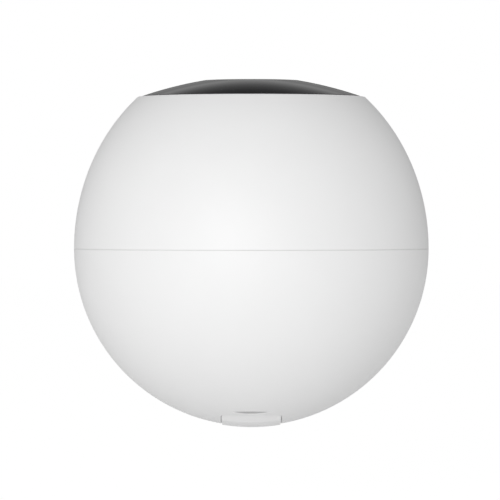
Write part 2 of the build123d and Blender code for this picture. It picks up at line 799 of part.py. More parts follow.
# Battery: two cells side by side in a cradle that hangs from the inner frame
trough_half_length = cell_length / 2 + contact_thickness + fixed_gap
cradle_half_length = trough_half_length + cradle_wall
cradle_bottom = cell_height - cell_radius - drop_in_gap - cradle_wall
with BuildPart() as battery_cells:
    with BuildSketch(Plane.YZ.offset(-cell_length / 2)):
        with Locations((-cell_spacing / 2, cell_height), (cell_spacing / 2, cell_height)):
            Circle(cell_radius)
    extrude(amount=cell_length - cell_button_height)
    fillet(battery_cells.edges().filter_by(GeomType.CIRCLE), cell_edge_fillet)
    with BuildSketch(Plane.YZ.offset(cell_length / 2)):
        with Locations((-cell_spacing / 2, cell_height), (cell_spacing / 2, cell_height)):
            Circle(cell_button_radius)
    extrude(amount=-2 * cell_button_height)
battery_cells.part.label = "battery_cells"
export_step(battery_cells.part, "parts/battery_cells.step")

with BuildPart() as battery_cradle:
    with BuildSketch(Plane.XY.offset(cradle_bottom)):
        Rectangle(2 * cradle_half_length, 2 * cradle_half_width)
    extrude(amount=frame_bottom - cradle_bottom)
    with BuildSketch(Plane.YZ):
        with Locations((-cell_spacing / 2, cell_height), (cell_spacing / 2, cell_height)):
            Circle(cell_radius + drop_in_gap)
        with Locations((0, cell_height)):
            open_width = 2 * (cradle_half_width - cradle_wall)
            Rectangle(open_width, ball_radius, align=(Align.CENTER, Align.MIN))
    extrude(amount=trough_half_length, both=True, mode=Mode.SUBTRACT)
    with BuildSketch(Plane.YZ.offset(-trough_half_length)):
        with Locations((0, cell_height)):
            Rectangle(cell_spacing, contact_width + 2 * drop_in_gap)
    extrude(amount=contact_thickness + drop_in_gap, mode=Mode.SUBTRACT)
    with BuildSketch(Plane.XY.offset(frame_bottom)):
        with GridLocations(cradle_screw_x, cradle_screw_y, 2, 2):
            Rectangle(cradle_ear_size, cradle_ear_size)
        Rectangle(2 * cradle_half_length, 2 * (cradle_half_width - cradle_wall / 2), mode=Mode.SUBTRACT)
    extrude(amount=-cradle_ear_height)
    Sphere(shell_inner_radius - cradle_gap, mode=Mode.INTERSECT)
    with Locations((0, 0, frame_bottom)):
        with GridLocations(cradle_screw_x, cradle_screw_y, 2, 2):
            Hole(medium_thread_radius - fixed_gap, medium_screw_length)
battery_cradle.part.label = "battery_cradle"
export_step(battery_cradle.part, "parts/battery_cradle.step")

# Battery contacts: a link across one end and a tab on each cell at the other
with BuildPart() as battery_contacts:
    with BuildSketch(Plane.YZ.offset(-cell_length / 2)):
        with Locations((0, cell_height)):
            Rectangle(cell_spacing + contact_width, contact_width)
    extrude(amount=-contact_thickness)
    with BuildSketch(Plane.YZ.offset(cell_length / 2)):
        with Locations((-cell_spacing / 2, cell_height), (cell_spacing / 2, cell_height)):
            Rectangle(contact_width, contact_width)
        with Locations((-cell_spacing / 2, cell_height), (cell_spacing / 2, cell_height)):
            tab_height = lead_start - cell_height
            Rectangle(contact_tab_width, tab_height, align=(Align.CENTER, Align.MIN))
    extrude(amount=contact_thickness)
battery_contacts.part.label = "battery_contacts"
export_step(battery_contacts.part, "parts/battery_contacts.step")

# Inner frame: a plate on the rear shell's posts, with four columns for the boards
foot_centre = tower_ring_radius + tower_foot_length / 2
with BuildPart() as inner_frame:
    with BuildSketch(Plane.XY.offset(frame_bottom)):
        Circle(frame_radius)
        with GridLocations(post_spacing_x, post_spacing_y, 2, 2):
            Circle(large_thread_radius + screw_hole_gap, mode=Mode.SUBTRACT)
        with GridLocations(cradle_screw_x, cradle_screw_y, 2, 2):
            Circle(medium_thread_radius + screw_hole_gap, mode=Mode.SUBTRACT)
        with GridLocations(2 * foot_centre, tower_screw_spacing, 2, 2):
            Circle(medium_thread_radius - fixed_gap, mode=Mode.SUBTRACT)
        with Locations((cell_length / 2, -cell_spacing / 2), (cell_length / 2, cell_spacing / 2)):
            Rectangle(lead_slot, lead_slot, mode=Mode.SUBTRACT)
        with Locations((0, port_ribbon_y)):
            Rectangle(ribbon_width + ribbon_slot_room, ribbon_slot_room, mode=Mode.SUBTRACT)
        with Locations((0, frame_radius - frame_speaker_notch / 2)):
            Rectangle(2 * speaker_radius, frame_speaker_notch, mode=Mode.SUBTRACT)
    extrude(amount=frame_thickness)
    with BuildSketch(Plane.XY.offset(frame_top)):
        with GridLocations(board_column_spacing, board_column_spacing, 2, 2):
            Circle(board_column_radius)
    extrude(amount=board_column_height)
    with Locations((0, 0, main_board_bottom)):
        with GridLocations(board_column_spacing, board_column_spacing, 2, 2):
            Hole(medium_thread_radius - fixed_gap, board_column_height)
inner_frame.part.label = "inner_frame"
export_step(inner_frame.part, "parts/inner_frame.step")

# Main board and what is on it
with BuildPart() as main_board:
    with BuildSketch(Plane.XY.offset(main_board_bottom)):
        RectangleRounded(main_board_x, main_board_y, main_board_corner)
        with GridLocations(board_column_spacing, board_column_spacing, 2, 2):
            Circle(medium_thread_radius + screw_hole_gap, mode=Mode.SUBTRACT)
    extrude(amount=board_thickness)
main_board.part.label = "main_board"
export_step(main_board.part, "parts/main_board.step")

with BuildPart() as heat_spreader:
    with BuildSketch(Plane.XY.offset(frame_top)):
        RectangleRounded(spreader_x, spreader_y, board_corner)
    extrude(amount=spreader_thickness)
heat_spreader.part.label = "heat_spreader"
export_step(heat_spreader.part, "parts/heat_spreader.step")

with BuildPart() as thermal_pad:
    with BuildSketch(Plane.XY.offset(frame_top + spreader_thickness)):
        Rectangle(processor_size, processor_size)
    extrude(amount=board_column_height - spreader_thickness - processor_height)
thermal_pad.part.label = "thermal_pad"
export_step(thermal_pad.part, "parts/thermal_pad.step")

with BuildPart() as processor:
    with BuildSketch(Plane.XY.offset(main_board_bottom)):
        Rectangle(processor_size, processor_size)
    extrude(amount=-processor_height)
    chamfer(processor.edges().group_by(Axis.Z)[0], chip_chamfer)
processor.part.label = "processor"
export_step(processor.part, "parts/processor.step")

with BuildPart() as memory_chips:
    with BuildSketch(Plane.XY.offset(main_board_top)):
        with Locations((-memory_x, memory_y), (-memory_x, -memory_y)):
            Rectangle(memory_size_x, memory_size_y)
    extrude(amount=memory_height)
    chamfer(memory_chips.edges().group_by(Axis.Z)[-1], chip_chamfer)
memory_chips.part.label = "memory_chips"
export_step(memory_chips.part, "parts/memory_chips.step")

with BuildPart() as radio_shield:
    with BuildSketch(Plane.XY.offset(main_board_top)):
        with Locations((radio_x, 0)):
            Rectangle(radio_size_x, radio_size_y)
    extrude(amount=radio_height)
    fillet(radio_shield.edges().filter_by(Axis.Z), chip_chamfer)
    with BuildSketch(Plane.XY.offset(main_board_top)):
        with Locations((radio_x, 0)):
            Rectangle(radio_size_x - 2 * radio_wall, radio_size_y - 2 * radio_wall)
    extrude(amount=radio_height - radio_wall, mode=Mode.SUBTRACT)
radio_shield.part.label = "radio_shield"
export_step(radio_shield.part, "parts/radio_shield.step")

# Connectors: board to board, infrared ring, port board and the two battery terminals
with BuildPart() as board_connectors:
    with BuildSketch(Plane.XY.offset(main_board_top)):
        Rectangle(stack_connector_x, stack_connector_y)
    extrude(amount=sensor_board_gap)
    with BuildSketch(Plane.XY.offset(main_board_top)):
        with Locations((-ring_connector_x, 0)):
            Rectangle(ribbon_connector_depth, ribbon_width + ribbon_connector_border)
    extrude(amount=ribbon_connector_height)
    with BuildSketch(Plane.XY.offset(main_board_bottom)):
        with Locations((0, port_connector_y)):
            Rectangle(ribbon_width + ribbon_connector_border, ribbon_connector_depth)
    extrude(amount=-port_connector_height)
    with BuildSketch(Plane.XY.offset(main_board_bottom)):
        terminal_x = lead_x - lead_turn_room - terminal_size_x / 2
        with Locations((terminal_x, -cell_spacing / 2), (terminal_x, cell_spacing / 2)):
            Rectangle(terminal_size_x, terminal_size_y)
    extrude(amount=-terminal_height)
board_connectors.part.label = "board_connectors"
export_step(board_connectors.part, "parts/board_connectors.step")

with BuildPart() as board_spacers:
    with BuildSketch(Plane.XY.offset(main_board_top)):
        with GridLocations(board_column_spacing, board_column_spacing, 2, 2):
            Circle(board_column_radius)
            Circle(medium_thread_radius + screw_hole_gap, mode=Mode.SUBTRACT)
    extrude(amount=sensor_board_gap)
board_spacers.part.label = "board_spacers"
export_step(board_spacers.part, "parts/board_spacers.step")

# Sensor board, with the image sensor and the lens holder on it
with BuildPart() as sensor_board:
    with BuildSketch(Plane.XY.offset(sensor_board_bottom)):
        RectangleRounded(sensor_board_size, sensor_board_size, board_corner)
        with GridLocations(board_column_spacing, board_column_spacing, 2, 2):
            Circle(medium_thread_radius + screw_hole_gap, mode=Mode.SUBTRACT)
        with Locations((holder_screw_x, 0), (-holder_screw_x, 0)):
            Circle(small_thread_radius + screw_hole_gap, mode=Mode.SUBTRACT)
    extrude(amount=board_thickness)
sensor_board.part.label = "sensor_board"
export_step(sensor_board.part, "parts/sensor_board.step")

with BuildPart() as image_sensor:
    with BuildSketch(Plane.XY.offset(sensor_board_top)):
        Rectangle(sensor_size, sensor_size)
    extrude(amount=sensor_height)
image_sensor.part.label = "image_sensor"
export_step(image_sensor.part, "parts/image_sensor.step")

# Lens holder, with a cavity in which the filter carriage slides
carriage_x = filter_pitch + filter_size + 2 * carriage_border
carriage_y = filter_size + 2 * carriage_border
slide_half_x = carriage_x / 2 + filter_pitch / 2 + drop_in_gap
slide_bottom = carriage_bottom - running_gap
slide_top = carriage_top + running_gap
arm_angle = asin(filter_pitch / 2 / arm_radius)
rotor_y = -holder_y / 2 - motor_y / 2
tab_front = rotor_y + arm_radius * cos(arm_angle) - arm_pin_radius - drop_in_gap - slot_border
tab_half_width = slot_width / 2 + slot_border
arm_bottom = slide_top + fixed_gap
arm_top = arm_bottom + arm_thickness
with BuildPart() as lens_holder:
    with BuildSketch(Plane.XY.offset(sensor_board_top)):
        RectangleRounded(holder_x, holder_y, board_corner)
    extrude(amount=holder_base_height)
    with BuildSketch(Plane.XY.offset(holder_base_top)):
        Circle(holder_tube_radius)
    extrude(amount=holder_tube_height)
    with Locations((0, 0, holder_tube_top)):
        Hole(thread_radius, holder_tube_height)
    with BuildSketch(Plane.XY.offset(sensor_board_top)):
        Rectangle(sensor_size + 2 * drop_in_gap, sensor_size + 2 * drop_in_gap)
    extrude(amount=slide_top - sensor_board_top, mode=Mode.SUBTRACT)
    with BuildSketch(Plane.XY.offset(slide_bottom)):
        Rectangle(2 * slide_half_x, carriage_y + 2 * running_gap)
    extrude(amount=slide_top - slide_bottom, mode=Mode.SUBTRACT)
    with BuildSketch(Plane.XY.offset(slide_bottom)):
        with Locations((0, -(holder_y + carriage_y) / 4)):
            arm_room_x = filter_pitch + 2 * (tab_half_width + drop_in_gap)
            Rectangle(arm_room_x, (holder_y - carriage_y) / 2)
    extrude(amount=arm_top + drop_in_gap - slide_bottom, mode=Mode.SUBTRACT)
    with BuildSketch(Plane.XY.offset(slide_bottom)):
        Circle(light_hole_radius)
    extrude(amount=holder_base_height, mode=Mode.SUBTRACT)
    with Locations(Plane.XY.offset(sensor_board_top).rotated((180, 0, 0))):
        with Locations((holder_screw_x, 0), (-holder_screw_x, 0)):
            Hole(small_thread_radius - fixed_gap, small_screw_length)
lens_holder.part.label = "lens_holder"
export_step(lens_holder.part, "parts/lens_holder.step")

# Lens barrel, screwed into its holder, and the glass elements in it
barrel_bottom = holder_base_top + barrel_bottom_gap
barrel_head_bottom = holder_tube_top + barrel_bottom_gap
barrel_top = window_seat - lens_window_gap
front_lens_radius = barrel_head_radius - barrel_wall
with BuildPart() as lens_barrel:
    with BuildSketch(Plane.XY.offset(barrel_bottom)):
        Circle(thread_radius - fixed_gap)
    extrude(amount=barrel_head_bottom - barrel_bottom)
    with BuildSketch(Plane.XY.offset(barrel_head_bottom)):
        Circle(barrel_head_radius)
    extrude(amount=barrel_top - barrel_head_bottom)
    with Locations((0, 0, barrel_top)):
        CounterBoreHole(barrel_bore_radius, front_lens_radius, lens_seat, barrel_top - barrel_bottom)
    chamfer(lens_barrel.edges().group_by(Axis.Z)[-1].sort_by(SortBy.LENGTH)[-1], barrel_chamfer)
lens_barrel.part.label = "lens_barrel"
export_step(lens_barrel.part, "parts/lens_barrel.step")

with BuildPart() as lens_elements:
    front_lens_bottom = barrel_top - lens_seat
    with BuildSketch(Plane.XZ):
        with BuildLine():
            lens_edge = front_lens_radius - fixed_gap
            rim_top = front_lens_bottom + lens_rim
            Polyline((0, front_lens_bottom), (lens_edge, front_lens_bottom), (lens_edge, rim_top))
            SagittaArc((lens_edge, rim_top), (-lens_edge, rim_top), -lens_rise)
            Polyline((-lens_edge, rim_top), (-lens_edge, front_lens_bottom), (0, front_lens_bottom))
        make_face()
        Rectangle(ball_radius, ball_radius, align=(Align.MIN, Align.MIN), mode=Mode.INTERSECT)
    revolve(axis=Axis.Z)
    for step in (1, 2):
        with BuildSketch(Plane.XY.offset(front_lens_bottom - step * inner_lens_pitch)):
            Circle(inner_lens_radius)
        extrude(amount=inner_lens_height)
lens_elements.part.label = "lens_elements"
export_step(lens_elements.part, "parts/lens_elements.step")

# Filter carriage: two windows side by side and a slot for the rotor's pin
carriage_rest = filter_pitch / 2
with BuildPart() as filter_carriage:
    with BuildSketch(Plane.XY.offset(carriage_bottom)):
        with Locations((carriage_rest, 0)):
            Rectangle(carriage_x, carriage_y)
        with Locations((carriage_rest, -carriage_y / 2)):
            tab_length = -carriage_y / 2 - tab_front
            Rectangle(2 * tab_half_width, tab_length, align=(Align.CENTER, Align.MAX))
    extrude(amount=carriage_thickness)
    with BuildSketch(Plane.XY.offset(carriage_top)):
        with Locations((0, 0), (filter_pitch, 0)):
            Rectangle(filter_size, filter_size)
    extrude(amount=-filter_thickness - fixed_gap, mode=Mode.SUBTRACT)
    with BuildSketch(Plane.XY.offset(carriage_bottom)):
        with Locations((0, 0), (filter_pitch, 0)):
            Rectangle(filter_size - 2 * filter_lip, filter_size - 2 * filter_lip)
        slot_front = tab_front + slot_border
        slot_rear = rotor_y + arm_radius + arm_pin_radius + drop_in_gap
        with Locations((carriage_rest, (slot_front + slot_rear) / 2)):
            Rectangle(slot_width, slot_rear - slot_front)
    extrude(amount=carriage_thickness, mode=Mode.SUBTRACT)
filter_carriage.part.label = "filter_carriage"
export_step(filter_carriage.part, "parts/filter_carriage.step")

with BuildPart() as day_filter:
    with BuildSketch(Plane.XY.offset(carriage_top - filter_thickness)):
        Rectangle(filter_size - 2 * fixed_gap, filter_size - 2 * fixed_gap)
    extrude(amount=filter_thickness)
day_filter.part.label = "day_filter"
export_step(day_filter.part, "parts/day_filter.step")

with BuildPart() as night_filter:
    with BuildSketch(Plane.XY.offset(carriage_top - filter_thickness)):
        with Locations((filter_pitch, 0)):
            Rectangle(filter_size - 2 * fixed_gap, filter_size - 2 * fixed_gap)
    extrude(amount=filter_thickness)
night_filter.part.label = "night_filter"
export_step(night_filter.part, "parts/night_filter.step")

# Filter motor: a housing with a magnet rotor on a shaft and a coil beside it
rotor_bottom = arm_top - rotor_height
coil_x = rotor_radius + 2 * motor_wall + coil_length / 2
with BuildPart() as filter_motor:
    with BuildSketch(Plane.XY.offset(sensor_board_top)):
        with Locations((0, rotor_y)):
            Rectangle(motor_x, motor_y - 2 * fixed_gap)
    extrude(amount=motor_height)
    with BuildSketch(Plane.XY.offset(rotor_bottom - running_gap)):
        with Locations((0, rotor_y)):
            Circle(rotor_radius + running_gap)
    extrude(amount=rotor_height + 2 * running_gap, mode=Mode.SUBTRACT)
    with BuildSketch(Plane.XY.offset(arm_bottom - running_gap)):
        with Locations((0, rotor_y)):
            arm_window = filter_pitch / 2 + arm_width
            Rectangle(2 * arm_window, motor_y, align=(Align.CENTER, Align.MIN))
    extrude(amount=arm_thickness + 2 * running_gap, mode=Mode.SUBTRACT)
    with BuildSketch(Plane.XY.offset(rotor_bottom)):
        with Locations((coil_x, rotor_y)):
            Rectangle(coil_length + drop_in_gap, 2 * (coil_radius + fixed_gap))
    extrude(amount=motor_height, mode=Mode.SUBTRACT)
    with BuildSketch(Plane.XY.offset(sensor_board_top + fixed_gap)):
        with Locations((0, rotor_y)):
            Circle(rotor_shaft_radius)
    extrude(amount=motor_height, mode=Mode.SUBTRACT)
filter_motor.part.label = "filter_motor"
export_step(filter_motor.part, "parts/filter_motor.step")

with BuildPart() as filter_coil:
    with BuildSketch(Plane.YZ.offset(coil_x - coil_length / 2)):
        with Locations((rotor_y, rotor_bottom + coil_radius + fixed_gap)):
            Circle(coil_radius)
    extrude(amount=coil_length)
filter_coil.part.label = "filter_coil"
export_step(filter_coil.part, "parts/filter_coil.step")

with BuildPart() as rotor_shaft:
    with BuildSketch(Plane.XY.offset(sensor_board_top + fixed_gap)):
        with Locations((0, rotor_y)):
            Circle(rotor_shaft_radius)
    extrude(amount=motor_height - fixed_gap)
rotor_shaft.part.label = "rotor_shaft"
export_step(rotor_shaft.part, "parts/rotor_shaft.step")

with BuildPart() as filter_rotor:
    with BuildSketch(Plane.XY.offset(rotor_bottom)):
        with Locations((0, rotor_y)):
            Circle(rotor_radius)
    extrude(amount=rotor_height)
    arm_plane = Plane(origin=(0, rotor_y, arm_bottom), x_dir=(sin(arm_angle), cos(arm_angle), 0))
    with BuildSketch(arm_plane):
        Rectangle(arm_radius, arm_width, align=(Align.MIN, Align.CENTER))
        with Locations((arm_radius, 0)):
            Circle(arm_width / 2)
    extrude(amount=arm_thickness)
    with BuildSketch(arm_plane):
        with Locations((arm_radius, 0)):
            Circle(arm_pin_radius)
    extrude(amount=carriage_bottom + fixed_gap - arm_bottom)
    with BuildSketch(Plane.XY.offset(rotor_bottom)):
        with Locations((0, rotor_y)):
            Circle(rotor_shaft_radius + fixed_gap)
    extrude(amount=rotor_height, mode=Mode.SUBTRACT)
filter_rotor.part.label = "filter_rotor"
export_step(filter_rotor.part, "parts/filter_rotor.step")

# Front tower: a ring under the ledge on two legs that stand on the inner frame
with BuildPart() as front_tower:
    with BuildSketch(Plane.XY.offset(tower_ring_bottom)):
        Circle(tower_ring_radius)
        Circle(tower_ring_hole, mode=Mode.SUBTRACT)
        with PolarLocations(front_screw_circle, front_screw_count, start_angle=front_screw_turn):
            Circle(medium_thread_radius - fixed_gap, mode=Mode.SUBTRACT)
        for turn in ring_screw_turns:
            with PolarLocations(led_circle, 1, start_angle=turn):
                Circle(small_thread_radius - fixed_gap, mode=Mode.SUBTRACT)
        with Locations((-ring_ribbon_x, 0)):
            Rectangle(ribbon_slot_room, ribbon_width + ribbon_slot_room, mode=Mode.SUBTRACT)
    extrude(amount=tower_ring_thickness)
    with BuildSketch(Plane.XY.offset(frame_top)):
        leg_centre = tower_ring_radius - tower_leg_thickness / 2
        with Locations((-leg_centre, 0), (leg_centre, 0)):
            Rectangle(tower_leg_thickness, tower_leg_width)
    extrude(amount=tower_ring_bottom - frame_top)
    Cylinder(tower_ring_radius, 2 * ball_radius, mode=Mode.INTERSECT)
    with BuildSketch(Plane.XY.offset(frame_top)):
        foot_reach = tower_foot_length + tower_leg_thickness
        foot_middle = tower_ring_radius - tower_leg_thickness + foot_reach / 2
        with Locations((-foot_middle, 0), (foot_middle, 0)):
            Rectangle(foot_reach, tower_leg_width)
        with GridLocations(2 * foot_centre, tower_screw_spacing, 2, 2):
            Circle(medium_thread_radius + screw_hole_gap, mode=Mode.SUBTRACT)
    extrude(amount=tower_foot_height)
front_tower.part.label = "front_tower"
export_step(front_tower.part, "parts/front_tower.step")

# Infrared ring board and what is on it
with BuildPart() as ring_board:
    with BuildSketch(Plane.XY.offset(tower_ring_top)):
        Circle(ring_board_outer)
        Circle(ring_board_inner, mode=Mode.SUBTRACT)
        for turn in ring_screw_turns:
            with PolarLocations(led_circle, 1, start_angle=turn):
                Circle(small_thread_radius + screw_hole_gap, mode=Mode.SUBTRACT)
    extrude(amount=thin_board)
ring_board.part.label = "ring_board"
export_step(ring_board.part, "parts/ring_board.step")

with BuildPart() as infrared_leds:
    with BuildSketch(Plane.XY.offset(ring_board_top)):
        with PolarLocations(led_circle, led_count, start_angle=180 / led_count):
            Rectangle(led_size, led_size)
    extrude(amount=led_base_height)
    with Locations((0, 0, ring_board_top + led_base_height)):
        with PolarLocations(led_circle, led_count, start_angle=180 / led_count):
            Sphere(led_dome_radius, arc_size1=0)
infrared_leds.part.label = "infrared_leds"
export_step(infrared_leds.part, "parts/infrared_leds.step")

with BuildPart() as status_led:
    with BuildSketch(Plane.XY.offset(ring_board_top)):
        with PolarLocations(led_circle, 1, start_angle=status_led_turn):
            Rectangle(status_led_size, status_led_size)
    extrude(amount=status_led_height)
status_led.part.label = "status_led"
export_step(status_led.part, "parts/status_led.step")

with BuildPart() as light_pipe:
    pipe_top = face_height(led_circle + light_pipe_radius, face_wall) - fixed_gap
    with BuildSketch(Plane.XY.offset(ring_board_top + status_led_height)):
        with PolarLocations(led_circle, 1, start_angle=status_led_turn):
            Circle(light_pipe_radius)
    extrude(amount=pipe_top - ring_board_top - status_led_height)
light_pipe.part.label = "light_pipe"
export_step(light_pipe.part, "parts/light_pipe.step")

with BuildPart() as light_sensor:
    with BuildSketch(Plane.XY.offset(ring_board_top)):
        with Locations((-led_circle, 0)):
            Rectangle(light_sensor_size, light_sensor_size)
    extrude(amount=light_sensor_height)
light_sensor.part.label = "light_sensor"
export_step(light_sensor.part, "parts/light_sensor.step")

with BuildPart() as microphone:
    with BuildSketch(Plane.XY.offset(ring_board_top)):
        with Locations((led_circle, 0)):
            Rectangle(microphone_size, microphone_size)
            Circle(sound_hole_radius, mode=Mode.SUBTRACT)
    extrude(amount=microphone_height)
microphone.part.label = "microphone"
export_step(microphone.part, "parts/microphone.step")

with BuildPart() as microphone_boot:
    boot_top = face_height(led_circle + boot_radius, face_wall) - fixed_gap
    with BuildSketch(Plane.XY.offset(ring_board_top + microphone_height)):
        with Locations((led_circle, 0)):
            Circle(boot_radius)
            Circle(sound_hole_radius, mode=Mode.SUBTRACT)
    extrude(amount=boot_top - ring_board_top - microphone_height)
microphone_boot.part.label = "microphone_boot"
export_step(microphone_boot.part, "parts/microphone_boot.step")

# Antenna, a small board on the front edge of the inner frame
with BuildPart() as antenna:
    with BuildSketch(Plane.XY.offset(frame_top)):
        with Locations((0, antenna_centre_y)):
            Rectangle(antenna_x, antenna_y)
    extrude(amount=antenna_thickness)
antenna.part.label = "antenna"
export_step(antenna.part, "parts/antenna.step")

# Speaker in its cup, with a foam ring between it and the front shell
frame_plane = speaker_plane.offset(magnet_height)
front_plane = speaker_plane.offset(magnet_height + speaker_frame_height)
with BuildPart() as speaker_magnet:
    with BuildSketch(speaker_plane):
        Circle(magnet_radius)
    extrude(amount=magnet_height)
speaker_magnet.part.label = "speaker_magnet"
export_step(speaker_magnet.part, "parts/speaker_magnet.step")

with BuildPart() as speaker_frame:
    with BuildSketch(frame_plane):
        Circle(speaker_radius)
    extrude(amount=speaker_frame_height)
    with BuildSketch(frame_plane.offset(speaker_wall)):
        Circle(speaker_radius - speaker_wall)
    extrude(amount=speaker_frame_height, mode=Mode.SUBTRACT)
speaker_frame.part.label = "speaker_frame"
export_step(speaker_frame.part, "parts/speaker_frame.step")

with BuildPart() as speaker_cone:
    with BuildSketch(Plane(origin=speaker_plane.origin, x_dir=(1, 0, 0), z_dir=(0, 0, -1))):
        with BuildLine():
            cone_edge = speaker_radius - speaker_wall - fixed_gap
            Polyline(
                (0, -(speaker_front - speaker_y - cone_depth - cone_thickness)),
                (cone_edge - surround_width, -(speaker_front - speaker_y - cone_thickness)),
                (cone_edge, -(speaker_front - speaker_y - cone_thickness)),
                (cone_edge, -(speaker_front - speaker_y)),
                (cone_edge - surround_width, -(speaker_front - speaker_y)),
                (0, -(speaker_front - speaker_y - cone_depth)),
                close=True,
            )
        make_face()
    revolve(axis=Axis(tuple(speaker_plane.origin), (0, 1, 0)))
speaker_cone.part.label = "speaker_cone"
export_step(speaker_cone.part, "parts/speaker_cone.step")

with BuildPart() as speaker_gasket:
    with BuildSketch(front_plane):
        Circle(speaker_radius)
        Circle(speaker_radius - speaker_gasket_wall, mode=Mode.SUBTRACT)
    extrude(amount=ball_radius - speaker_front)
    with BuildSketch(Plane.XZ):
        Ellipse(shell_inner_radius - fixed_gap, nose_half_axis - shell_wall - fixed_gap)
        Rectangle(ball_radius, rim_height, align=(Align.MIN, Align.MIN), mode=Mode.INTERSECT)
    revolve(axis=Axis.Z, mode=Mode.INTERSECT)
speaker_gasket.part.label = "speaker_gasket"
export_step(speaker_gasket.part, "parts/speaker_gasket.step")

# Flat ribbon from the infrared ring down to the main board
with BuildPart() as ring_ribbon:
    ribbon_foot = main_board_top + ribbon_connector_height
    with BuildLine() as ring_route:
        FilletPolyline(
            (-ring_ribbon_x, 0, tower_ring_top),
            (-ring_ribbon_x, 0, tower_ring_bottom - ribbon_bend),
            (-ring_connector_x, 0, tower_ring_bottom - 2 * ribbon_bend),
            (-ring_connector_x, 0, ribbon_foot),
            radius=ribbon_bend,
        )
    with BuildSketch(Plane.XY.offset(tower_ring_top)):
        with Locations((-ring_ribbon_x, 0)):
            Rectangle(ribbon_thickness, ribbon_width)
    sweep(path=ring_route.line)
ring_ribbon.part.label = "ring_ribbon"
export_step(ring_ribbon.part, "parts/ring_ribbon.step")

# Flat ribbon from the port board, round the battery cradle, up to the main board
with BuildPart() as port_ribbon:
    ribbon_start = port_board_top + port_connector_height
    ribbon_end = main_board_bottom - port_connector_height / 2
    with BuildLine() as port_route:
        FilletPolyline(
            (0, -port_board_y / 2, ribbon_start),
            (0, port_ribbon_y, ribbon_start),
            (0, port_ribbon_y, ribbon_end),
            (0, port_connector_y - ribbon_connector_depth / 2, ribbon_end),
            radius=(ribbon_bend, ribbon_end_bend),
        )
    with BuildSketch(Plane.XZ.offset(port_board_y / 2)):
        with Locations((0, ribbon_start)):
            Rectangle(ribbon_width, ribbon_thickness)
    sweep(path=port_route.line)
port_ribbon.part.label = "port_ribbon"
export_step(port_ribbon.part, "parts/port_ribbon.step")

# Battery leads, from the tabs of the contacts to the terminals of the main board
with BuildPart() as battery_leads:
    lead_top = main_board_bottom - terminal_height / 2
    for side in (-1, 1):
        lead_y = side * cell_spacing / 2
        with BuildLine() as lead_route:
            FilletPolyline(
                (lead_x, lead_y, lead_start),
                (lead_x, lead_y, lead_top),
                (lead_x - lead_turn_room, lead_y, lead_top),
                radius=lead_bend,
            )
        with BuildSketch(Plane.XY.offset(lead_start)):
            with Locations((lead_x, lead_y)):
                Circle(lead_radius)
        sweep(path=lead_route.line)
battery_leads.part.label = "battery_leads"
export_step(battery_leads.part, "parts/battery_leads.step")


def screw_form(thread, head, height, length):
    """A pan-head screw with a cross recess, its seat on the origin and pointing down."""
    with BuildPart() as form:
        Cylinder(thread - fixed_gap - screw_fit_gap, length, align=(Align.CENTER, Align.CENTER, Align.MAX))
        Cylinder(head, height, align=(Align.CENTER, Align.CENTER, Align.MIN))
        fillet(form.edges().group_by(Axis.Z)[-1], head_fillet_share * height)
        with BuildSketch(Plane.XY.offset(height)):
            Rectangle(drive_length_share * head, drive_width_share * head)
            Rectangle(drive_width_share * head, drive_length_share * head)
        extrude(amount=-drive_depth_share * height, mode=Mode.SUBTRACT)
    return form.part


# Screws, one node for each size
large_screw = (large_thread_radius, large_head_radius, large_head_height)
medium_screw = (medium_thread_radius, medium_head_radius, medium_head_height)
small_screw = (small_thread_radius, small_head_radius, small_head_height)
large_form = screw_form(*large_screw, frame_thickness + frame_screw_length - fixed_gap)
board_form = screw_form(*medium_screw, board_screw_length)
medium_form = screw_form(*medium_screw, medium_screw_length)
tower_form = screw_form(*medium_screw, tower_foot_height + frame_thickness)
front_form = screw_form(*medium_screw, front_screw_length)
small_form = screw_form(*small_screw, small_screw_length)
ring_form = screw_form(*small_screw, thin_board + tower_ring_thickness - fixed_gap)

with BuildPart() as frame_screws:
    with Locations((0, 0, frame_top)):
        with GridLocations(post_spacing_x, post_spacing_y, 2, 2):
            add(large_form)
frame_screws.part.label = "frame_screws"
export_step(frame_screws.part, "parts/frame_screws.step")

with BuildPart() as board_screws:
    with Locations((0, 0, sensor_board_top)):
        with GridLocations(board_column_spacing, board_column_spacing, 2, 2):
            add(board_form)
board_screws.part.label = "board_screws"
export_step(board_screws.part, "parts/board_screws.step")

with BuildPart() as medium_screws:
    with Locations((0, 0, frame_top)):
        with GridLocations(cradle_screw_x, cradle_screw_y, 2, 2):
            add(medium_form)
    with Locations((0, 0, frame_top + tower_foot_height)):
        with GridLocations(2 * foot_centre, tower_screw_spacing, 2, 2):
            add(tower_form)
    with Locations((0, 0, ledge_top - medium_head_height - screw_hole_gap)):
        with PolarLocations(front_screw_circle, front_screw_count, start_angle=front_screw_turn):
            add(front_form)
medium_screws.part.label = "medium_screws"
export_step(medium_screws.part, "parts/medium_screws.step")

with BuildPart() as small_screws:
    with Locations((port_post_x, 0, port_board_top), (-port_post_x, 0, port_board_top)):
        add(small_form)
    for turn in ring_screw_turns:
        with Locations((0, 0, ring_board_top)):
            with PolarLocations(led_circle, 1, start_angle=turn):
                add(ring_form)
    with Locations(Plane.XY.offset(sensor_board_bottom).rotated((180, 0, 0))):
        with Locations((holder_screw_x, 0), (-holder_screw_x, 0)):
            add(small_form)
small_screws.part.label = "small_screws"
export_step(small_screws.part, "parts/small_screws.step")
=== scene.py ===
"""Looks of a ball-shaped indoor security camera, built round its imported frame.

Lengths are in metres, in the frame's own axes: the lens looks along +Z, and the
photograph looks along +Y. Each sub-assembly is a class that builds and dresses its
own pieces, and each finish is a frozen dataclass that paints one material.
"""

import logging
from dataclasses import dataclass
from enum import Enum
from typing import Any, Mapping, Sequence, Union

